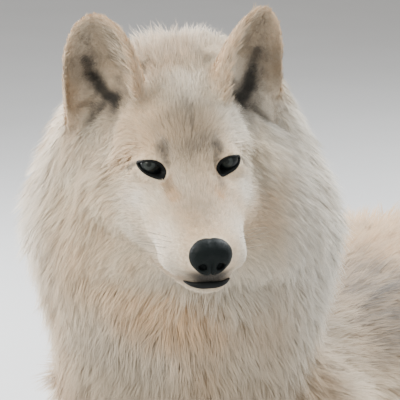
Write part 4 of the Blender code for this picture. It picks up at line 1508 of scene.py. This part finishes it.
def skin_height(flat_points, side, otherwise=0.004):
    """How far out of the face the skin is over points of the opening's plane."""
    starts = on_wolf(np.column_stack((flat_points, np.full(len(flat_points), RAY_START))), side)
    heights = []
    for start in starts:
        hit = skin_tree.ray_cast(Vector(start), -facing_out(side), RAY_START + 0.04)
        heights.append(otherwise if hit[0] is None else RAY_START - hit[3])
    values = np.array(heights)
    return (np.roll(values, 1) + 2 * values + np.roll(values, -1)) / 4


def ball_height(flat_points):
    room = EYEBALL_RADIUS**2 - (flat_points**2).sum(axis=1)
    return np.sqrt(np.clip(room, (0.25 * EYEBALL_RADIUS) ** 2, None))


def lid_rows(side):
    out = outwards(LID_RING)
    rows = []
    for offset, rise in OUTER_ROWS:
        flat = LID_RING + out * offset
        rows.append(np.column_stack((flat, skin_height(flat, side) + rise)))
    crest = np.column_stack((LID_RING - out * 0.0001, rows[-1][:, 2] + 0.0001))
    margin = np.column_stack((LID_MARGIN, ball_height(LID_MARGIN) + 0.0005))
    slope = crest * 0.45 + margin * 0.55
    slope[:, 2] += 0.0004
    tucked = np.column_stack((LID_MARGIN * 1.03, ball_height(LID_MARGIN) - 0.0022))
    return rows + [crest, slope, margin, tucked]


def rim_of_lids(name, side, material):
    bm = bmesh.new()
    bridged(bm, [[bm.verts.new(point) for point in on_wolf(row, side)] for row in lid_rows(side)])
    bm.normal_update()
    if sum(face.normal.dot(facing_out(side)) * face.calc_area() for face in bm.faces) < 0:
        bmesh.ops.reverse_faces(bm, faces=bm.faces)
    rim = rounded(from_bmesh("lids_" + name, bm, material), 1)
    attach(rim, "root")
    return rim


def wet_black_skin():
    """Black skin with fine wrinkles, a little paler where they stand up."""
    material, make, shader = new_material("black skin", 0.55, Specular_IOR_Level=0.12)
    wrinkles = noise_on(make, 900.0, 4.0)
    dressed(make, shader, mix_colour(make, wrinkles, WET_BLACK, RAISED_BLACK), wrinkles, 0.35)
    return material


BLACK_SKIN = wet_black_skin()
lids = [rim_of_lids(name, side, BLACK_SKIN) for name, side in SIDES.items()]
print("lid rims:", [triangles(rim.data) for rim in lids], "triangles")

# %% [markdown]
# An eyeball is a ball with a second, tighter curve on it, the cornea. Its rings are laid round the line
# of sight, so that pupil, iris and its dark edge are true circles. How far a point is from that line is
# kept as an attribute, and the material paints by it. The iris has fibres, from noise that is stretched
# along the radius. A clear coat makes it wet.

# %% The eyeballs
SIGHT = {1: Vector((-0.243, -0.933, 0.264)), -1: Vector((-0.310, -0.872, 0.378))}  # in the head's frame
RINGS, SPOKES = 34, 56
RING_CROWDING = 1.35  # above 1 the rings are closer to each other at the pupil
CORNEA_ANGLE, CORNEA_RISE = math.radians(36), 0.0006
PUPIL, EYE_EDGE = (0.007, 0.009, 0.008, 1), (0.006, 0.008, 0.008, 1)
IRIS_DARK, IRIS_PALE = (0.012, 0.016, 0.015, 1), (0.038, 0.046, 0.042, 1)
IRIS_RIM = (0.022, 0.028, 0.026, 1)


def mirrored(point, side):
    return Vector((side * point[0], point[1], point[2]))


def eyeball(name, side, material):
    sight = SIGHT[side].normalized()
    across = sight.cross(Vector((0, 0, 1))).normalized()
    over = across.cross(sight)
    centre = mirrored(EYE_CENTRE, side)
    bm = bmesh.new()
    ring_layer = bm.verts.layers.float.new("from_sight")
    turn_layer = bm.verts.layers.float_vector.new("spoke")

    def vertex(angle, turn):
        bulge = CORNEA_RISE * (1 - (angle / CORNEA_ANGLE) ** 2) ** 1.5 if angle < CORNEA_ANGLE else 0.0
        radial = across * math.cos(turn) + over * math.sin(turn)
        direction = sight * math.cos(angle) + radial * math.sin(angle)
        made = bm.verts.new(HEAD @ (centre + direction * (EYEBALL_RADIUS - 0.0002 + bulge)))
        made[ring_layer] = math.sin(min(angle, math.pi / 2)) * EYEBALL_RADIUS / MM
        made[turn_layer] = (math.cos(turn), math.sin(turn), math.sin(angle) * 0.35)
        return made

    front, back = vertex(0.0, 0.0), vertex(math.pi, 0.0)
    angles = [math.pi * (k / RINGS) ** RING_CROWDING for k in range(1, RINGS)]
    rings = [[vertex(angle, math.tau * k / SPOKES) for k in range(SPOKES)] for angle in angles]
    for k in range(SPOKES):
        n = (k + 1) % SPOKES
        bm.faces.new((front, rings[0][k], rings[0][n]))
        bm.faces.new((back, rings[-1][n], rings[-1][k]))
    bridged(bm, rings)
    bmesh.ops.recalc_face_normals(bm, faces=bm.faces)
    ball = from_bmesh("eyeball_" + name, bm, material)
    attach(ball, "root")
    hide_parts("eye_" + name)
    return ball


def step_mask(make, value, start, end):
    """A smooth step in a shader: 0 below start and 1 above end."""
    node = make.node("ShaderNodeMapRange", {"Value": value, "From Min": start, "From Max": end})
    node.interpolation_type = "SMOOTHSTEP"
    return node.outputs[0]


def eye_material():
    """Pupil, iris and its dark edge, by the distance from the line of sight in millimetres."""
    wetness = {"Specular_IOR_Level": 0.15, "Coat_Weight": 0.16, "Coat_Roughness": 0.10}
    material, make, shader = new_material("wet eye", 0.35, **wetness)
    out = shader_attribute(make, "from_sight")
    spoke = shader_attribute(make, "spoke", "Vector")
    fibres = make.node("ShaderNodeTexNoise", {"Vector": spoke, "Scale": 17.0, "Detail": 4.0}).outputs[0]
    iris = mix_colour(make, fibres, IRIS_DARK, IRIS_PALE)
    to_rim = mix_colour(make, step_mask(make, out, 3.4, 6.0), iris, IRIS_RIM)
    iris = mix_colour(make, 0.45, iris, to_rim)
    inner = mix_colour(make, step_mask(make, out, 2.0, 3.2), PUPIL, iris)
    dressed(make, shader, mix_colour(make, step_mask(make, out, 5.9, 6.8), inner, EYE_EDGE))
    return material


EYE = eye_material()
eyeballs = [eyeball(name, side, EYE) for name, side in SIDES.items()]
print("eyeballs:", triangles(eyeballs[0].data), "triangles each")

# %% [markdown]
# The nose is a pad of bare leather in the shape of a rounded shield, with two comma-shaped nostrils and a
# groove that runs down to the lip. The solid gives its outline. A copy of it is wrapped again with fine
# faces and smoothed. The groove and the slits are pressed into those along their normals.

# %% The nose pad
NOSE_VOXEL = 0.0008
NOSTRIL = ((0.0093, -0.1262, -0.0584), (0.0108, -0.1255, -0.0592))
NOSTRIL_SLIT = ((0.0100, -0.1262, -0.0590), (0.0140, -0.1245, -0.0610), (0.0180, -0.1190, -0.0588))
NOSTRIL_SLIT += ((0.0205, -0.1130, -0.0545),)
NOSTRIL_WING = ((0.0125, -0.1225, -0.0520), (0.0170, -0.1180, -0.0510))  # swells over the slit
LEATHER_DARK, LEATHER_PALE = (0.0025, 0.0055, 0.0055, 1), (0.0070, 0.0115, 0.0110, 1)
# the second colour is a painted sheen for the pad's upper edge
LEATHER_GROOVE, PAINTED_TOP_SHEEN = (0.003, 0.005, 0.005, 1), (0.008, 0.012, 0.013, 1)
# painted shade for the depth of the nostrils
NOSTRIL_SHADE = (0.0015, 0.0015, 0.0015, 1)


def bell(distance, radius):
    return np.exp(-((distance / radius) ** 2))


def pressed(left, line, radius):
    """1 on a line of points and 0 a little way off it, by a bell curve."""
    return bell(line_distance(line, left), radius)


def sculpted_nose(pad):
    near = Neighbours(pad.data)
    place(pad.data, near.smoothed(read(pad.data), 26, 0.6))
    here = moved(HEAD_BACK, read(pad.data))
    out = unit(near.smoothed(turned(HEAD_BACK, read(pad.data, "normal")), 4))
    left, signs = flipped(here)
    low = ramp(here[:, 2], -0.050, -0.058)
    press = 0.0016 * bell(here[:, 0], 0.0010) * low + 0.0005 * bell(here[:, 0], 0.0028)  # the groove
    press += 0.0020 * pressed(left, NOSTRIL_SLIT, 0.0013)
    press += 0.0050 * pressed(left, NOSTRIL, 0.0028)
    press -= 0.0011 * pressed(left, NOSTRIL_WING, 0.0050)
    here -= out * press[:, None]
    here[:, 2] -= 0.0035 * low * np.clip(1 - (here[:, 0] / 0.017) ** 2, 0, 1)
    here[:, 0] *= 1 - 0.03 * ramp(here[:, 2], -0.050, -0.072) - 0.07 * ramp(here[:, 2], -0.046, -0.036)
    place(pad.data, near.smoothed(moved(HEAD, here), 2, 0.4))
    # Painted shade: the nostrils and their slits are darkened where they are pressed in.
    deep = pressed(left, NOSTRIL, 0.0030) + 0.4 * pressed(left, NOSTRIL_SLIT, 0.0012)
    write_field(pad.data, "hollow", np.clip(deep, 0, 1))
    # Painted sheen: how much each point faces up, to paint the upper edge paler as if the sky shone on it.
    write_field(pad.data, "top", ramp(out[:, 2], 0.10, 0.80))


def nose_leather():
    """Dark leather of small cells with grooves between them, paler on its upper edge by a painted sheen."""
    material, make, shader = new_material("nose leather", 0.50, Specular_IOR_Level=0.11)
    here = make.node("ShaderNodeTexCoord").outputs["Object"]
    cells = make.node("ShaderNodeTexVoronoi", {"Vector": here, "Scale": 900.0}, feature="DISTANCE_TO_EDGE")
    grooves = step_mask(make, cells.outputs["Distance"], 0.0, 0.14)
    blotches = noise_on(make, 130.0, 3.0)
    leather = mix_colour(make, blotches, LEATHER_DARK, LEATHER_PALE)
    leather = mix_colour(make, grooves, LEATHER_GROOVE, leather)
    # painted sheen on the pad's upper edge
    leather = mix_colour(make, shader_attribute(make, "top"), leather, PAINTED_TOP_SHEEN)
    # painted shade in the nostrils
    leather = mix_colour(make, shader_attribute(make, "hollow"), leather, NOSTRIL_SHADE)
    rough = make.node("ShaderNodeMapRange", {"Value": grooves, "To Min": 0.65, "To Max": 0.42}).outputs[0]
    make.give(shader.inputs["Roughness"], rough)
    dressed(make, shader, leather, grooves)
    return material


nose_pad = rewrapped(from_bmesh("nose_pad", copied("nose")), NOSE_VOXEL)
sculpted_nose(nose_pad)
smooth_faces(nose_pad.data)
nose_pad.data.materials.append(nose_leather())
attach(nose_pad, "root")
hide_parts("nose")
print("nose pad:", triangles(nose_pad.data), "triangles")

# %% [markdown]
# With the mouth shut, the black edge of the lower lip shows as a crescent under the nose. It is one
# flattened tube that follows the front of the jaw and thins out to the sides.

# %% The lower lip
LIP_HALF_WIDTH, LIP_STEPS, LIP_SIDES = 0.0247, 56, 14
LIP_FRONT, LIP_BACK, LIP_BEND = -0.1158, 0.0161, 3.2  # its front, how far back its ends are, and its curve
LIP_TALL, LIP_DEEP, LIP_LEAST = 0.0037, 0.0030, 0.0002  # half its section in the middle, and at its ends


def lower_lip():
    bm = bmesh.new()
    rings = []
    for k in range(LIP_STEPS + 1):
        s = 2 * k / LIP_STEPS - 1
        behind, below = LIP_BACK * abs(s) ** LIP_BEND, 0.0012 * s * s
        centre = Vector((LIP_HALF_WIDTH * s, LIP_FRONT + behind, -0.0857 - below))
        tall = LIP_TALL * max(1 - abs(s) ** 2.2, 0) ** 0.8 + LIP_LEAST
        deep = LIP_DEEP * max(1 - abs(s) ** 4, 0) ** 0.5 + LIP_LEAST
        slope = LIP_BACK * LIP_BEND * abs(s) ** (LIP_BEND - 1) * math.copysign(1, s) / LIP_HALF_WIDTH
        outward = Vector((slope, -1, 0)).normalized()
        ring = []
        for m in range(LIP_SIDES):
            a = math.tau * m / LIP_SIDES
            up = math.cos(a) * tall - 0.0006 * (1 - s * s) * math.cos(2 * a)
            ring.append(bm.verts.new(HEAD @ (centre + Vector((0, 0, up)) + outward * math.sin(a) * deep)))
        rings.append(ring)
    bridged(bm, rings)
    for ring in (rings[0], rings[-1]):
        bm.faces.new(ring)
    bmesh.ops.recalc_face_normals(bm, faces=bm.faces)
    lip = from_bmesh("lower_lip", bm, BLACK_SKIN)
    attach(lip, "root")
    return lip


lip = lower_lip()
print("lower lip:", triangles(lip.data), "triangles")

# %% [markdown]
# Whiskers are stiff single hairs in rows on the upper lip. Each is a thin tapered tube that leaves the
# skin at a slant and bends back. Their roots are found by a ray from the side, so that all of them touch
# the skin.

# %% Whiskers
WHISKER_ROWS = (  # distance behind the nose, height in the head's frame, length
    (0.032, -0.045, 0.040),
    (0.044, -0.044, 0.050),
    (0.036, -0.053, 0.044),
    (0.048, -0.054, 0.055),
    (0.041, -0.063, 0.040),
)
WHISKER_RADIUS, WHISKER_ROOT = 0.00026, 0.002
WHISKER_RINGS, WHISKER_SIDES = 10, 5
WHISKER_DARK, WHISKER_PALE = (0.10, 0.080, 0.060, 1), (0.40, 0.33, 0.25, 1)
BESIDE_FACE = 0.12  # metres, where the rays that look for the roots start


def whisker(bm, root, direction, bend, length_of):
    rings = []
    for k in range(WHISKER_RINGS):
        t = k / (WHISKER_RINGS - 1)
        centre = root + direction * (t * length_of) + bend * (t * t * length_of)
        ahead = (direction + bend * 2 * t).normalized()
        across = ahead.cross(Vector((0, 0, 1))).normalized()
        over = across.cross(ahead)
        radius = WHISKER_RADIUS * (1 - 0.85 * t)
        turns = [math.tau * m / WHISKER_SIDES for m in range(WHISKER_SIDES)]
        round_it = [(across * math.cos(a) + over * math.sin(a)) * radius for a in turns]
        rings.append([bm.verts.new(centre + off) for off in round_it])
    bridged(bm, rings)
    bm.faces.new(rings[-1])
    bm.faces.new(rings[0])


def whiskers():
    bm = bmesh.new()
    rng = np.random.default_rng(7)
    for side in SIDES.values():
        for behind, height, length_of in WHISKER_ROWS:
            start = HEAD @ Vector((side * BESIDE_FACE, NOSE_TIP[1] + behind, height))
            inward = (HEAD.to_3x3() @ Vector((-side, 0, 0))).normalized()
            hit = skin_tree.ray_cast(start, inward, BESIDE_FACE)
            if hit[0] is None:
                continue
            aim = Vector((side * 0.93, 0.26 + 0.2 * rng.random(), 0.06 + 0.16 * (rng.random() - 0.5)))
            bend = HEAD.to_3x3() @ Vector((-side * 0.10, 0.22, -0.10 - 0.10 * rng.random()))
            direction = (HEAD.to_3x3() @ aim).normalized()
            whisker(bm, hit[0] - direction * WHISKER_ROOT, direction, bend, length_of)
    bmesh.ops.recalc_face_normals(bm, faces=bm.faces)
    material, make, shader = new_material("whisker", 0.45)
    dressed(make, shader, mix_colour(make, noise_on(make, 60.0), WHISKER_DARK, WHISKER_PALE))
    made = from_bmesh("whiskers", bm, material)
    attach(made, "root")
    return made


print("whiskers:", triangles(whiskers().data), "triangles")

# %% [markdown]
# The claws are horn, dark and worn blunt. Copies of the sixteen solids are merged and subdivided, which
# rounds them, and dressed in a streaked material.

# %% The claws
HORN_DARK, HORN_PALE = (0.018, 0.015, 0.013, 1), (0.120, 0.100, 0.078, 1)


def claws():
    names = [name for name in nodes if name.startswith("claw")]
    material, make, shader = new_material("claw horn", 0.38)
    here = make.node("ShaderNodeTexCoord").outputs["Object"]
    along_claw = make.node("ShaderNodeMapping", {"Vector": here, "Scale": (900.0, 90.0, 300.0)}).outputs[0]
    inputs = {"Vector": along_claw, "Scale": 1.0, "Detail": 3.0}
    streaks = make.node("ShaderNodeTexNoise", inputs).outputs[0]
    dressed(make, shader, mix_colour(make, streaks, HORN_DARK, HORN_PALE), streaks, 0.3, 0.0003)
    made = rounded(from_bmesh("claws", copied(*names), material), 2)
    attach(made, "root")
    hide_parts(*names)
    return made


print("claws:", triangles(claws().data), "triangles")

# %% [markdown]
# A pale floor under an even sky, and soft light. As the camera sees it, a large warm light comes from the
# upper left in front and a weak one from the right. One from above and behind draws a bright edge on the
# crown, and one from the left lights the ruff.

# %% The stage
STAGE_COLOUR = (0.58, 0.585, 0.59, 1)
FLOOR_RADIUS, FLOOR_SIDES = 40.0, 96


def floor():
    """A wide round floor: with no wall, the wolf can be seen from every side."""
    bm = bmesh.new()
    bmesh.ops.create_circle(bm, cap_ends=True, radius=FLOOR_RADIUS, segments=FLOOR_SIDES)
    material, make, shader = new_material("pale floor", 0.9)
    pale = mix_colour(make, noise_on(make, 3.0), STAGE_COLOUR, tuple(0.93 * c for c in STAGE_COLOUR))
    dressed(make, shader, pale)
    return from_bmesh("floor", bm, material)


LIGHTS = {  # place, width in metres, power in watts, colour
    "key": ((-1.3, -2.6, 2.3), 1.8, 100, (1.0, 0.94, 0.85)),
    "fill": ((2.6, -1.6, 1.3), 2.2, 12, (0.94, 0.97, 1.0)),
    "rim": ((0.9, 2.0, 2.9), 2.2, 290, (0.95, 0.98, 1.0)),
    "side": ((-2.4, 0.1, 1.2), 1.8, 170, (0.96, 0.98, 1.0)),
}


def aimed(obj, place_at, direction):
    """Puts a lamp or a camera in its place, to look in a direction."""
    obj.location = place_at
    obj.rotation_euler = direction.to_track_quat("-Z", "Y").to_euler()


def area_light(name, place_at, width, power, colour):
    """A round lamp that shines on the head."""
    light = bpy.data.lights.new(name, "AREA")
    light.shape = "DISK"
    light.size = width
    light.energy = power
    light.color = colour
    aimed(linked(name, light), place_at, head_origin - Vector(place_at))


floor()
for name, settings in LIGHTS.items():
    area_light(name, *settings)
world = bpy.data.worlds.new("soft sky")
bpy.context.scene.world = world
world.use_nodes = True
sky = world.node_tree.nodes["Background"].inputs
sky["Color"].default_value = (1.0, 0.975, 0.94, 1)
sky["Strength"].default_value = 0.74

# %% [markdown]
# The camera looks at the face from a little to the wolf's left of straight ahead and slightly above.

# %% The camera
VIEW_AZIMUTH, VIEW_ELEVATION, VIEW_DISTANCE = math.radians(25), math.radians(11), 2.8
HALF_VIEW = 0.214  # metres from the middle of the view to its edge, at the head's distance
AIM_RIGHT, AIM_DOWN = 0.0107, 0.0369  # metres from the head's origin to the middle of the view
SENSOR = 36


def camera():
    azimuth, level, above = VIEW_AZIMUTH, math.cos(VIEW_ELEVATION), math.sin(VIEW_ELEVATION)
    back = Vector((math.sin(azimuth) * level, -math.cos(azimuth) * level, above))
    right = Vector((math.cos(azimuth), math.sin(azimuth), 0))
    target = head_origin + right * AIM_RIGHT - right.cross(-back) * AIM_DOWN
    data = bpy.data.cameras.new("camera")
    data.sensor_width = SENSOR
    data.lens = SENSOR / 2 * VIEW_DISTANCE / HALF_VIEW
    bpy.context.scene.camera = linked("camera", data)
    aimed(bpy.context.scene.camera, target + back * VIEW_DISTANCE, -back)


camera()
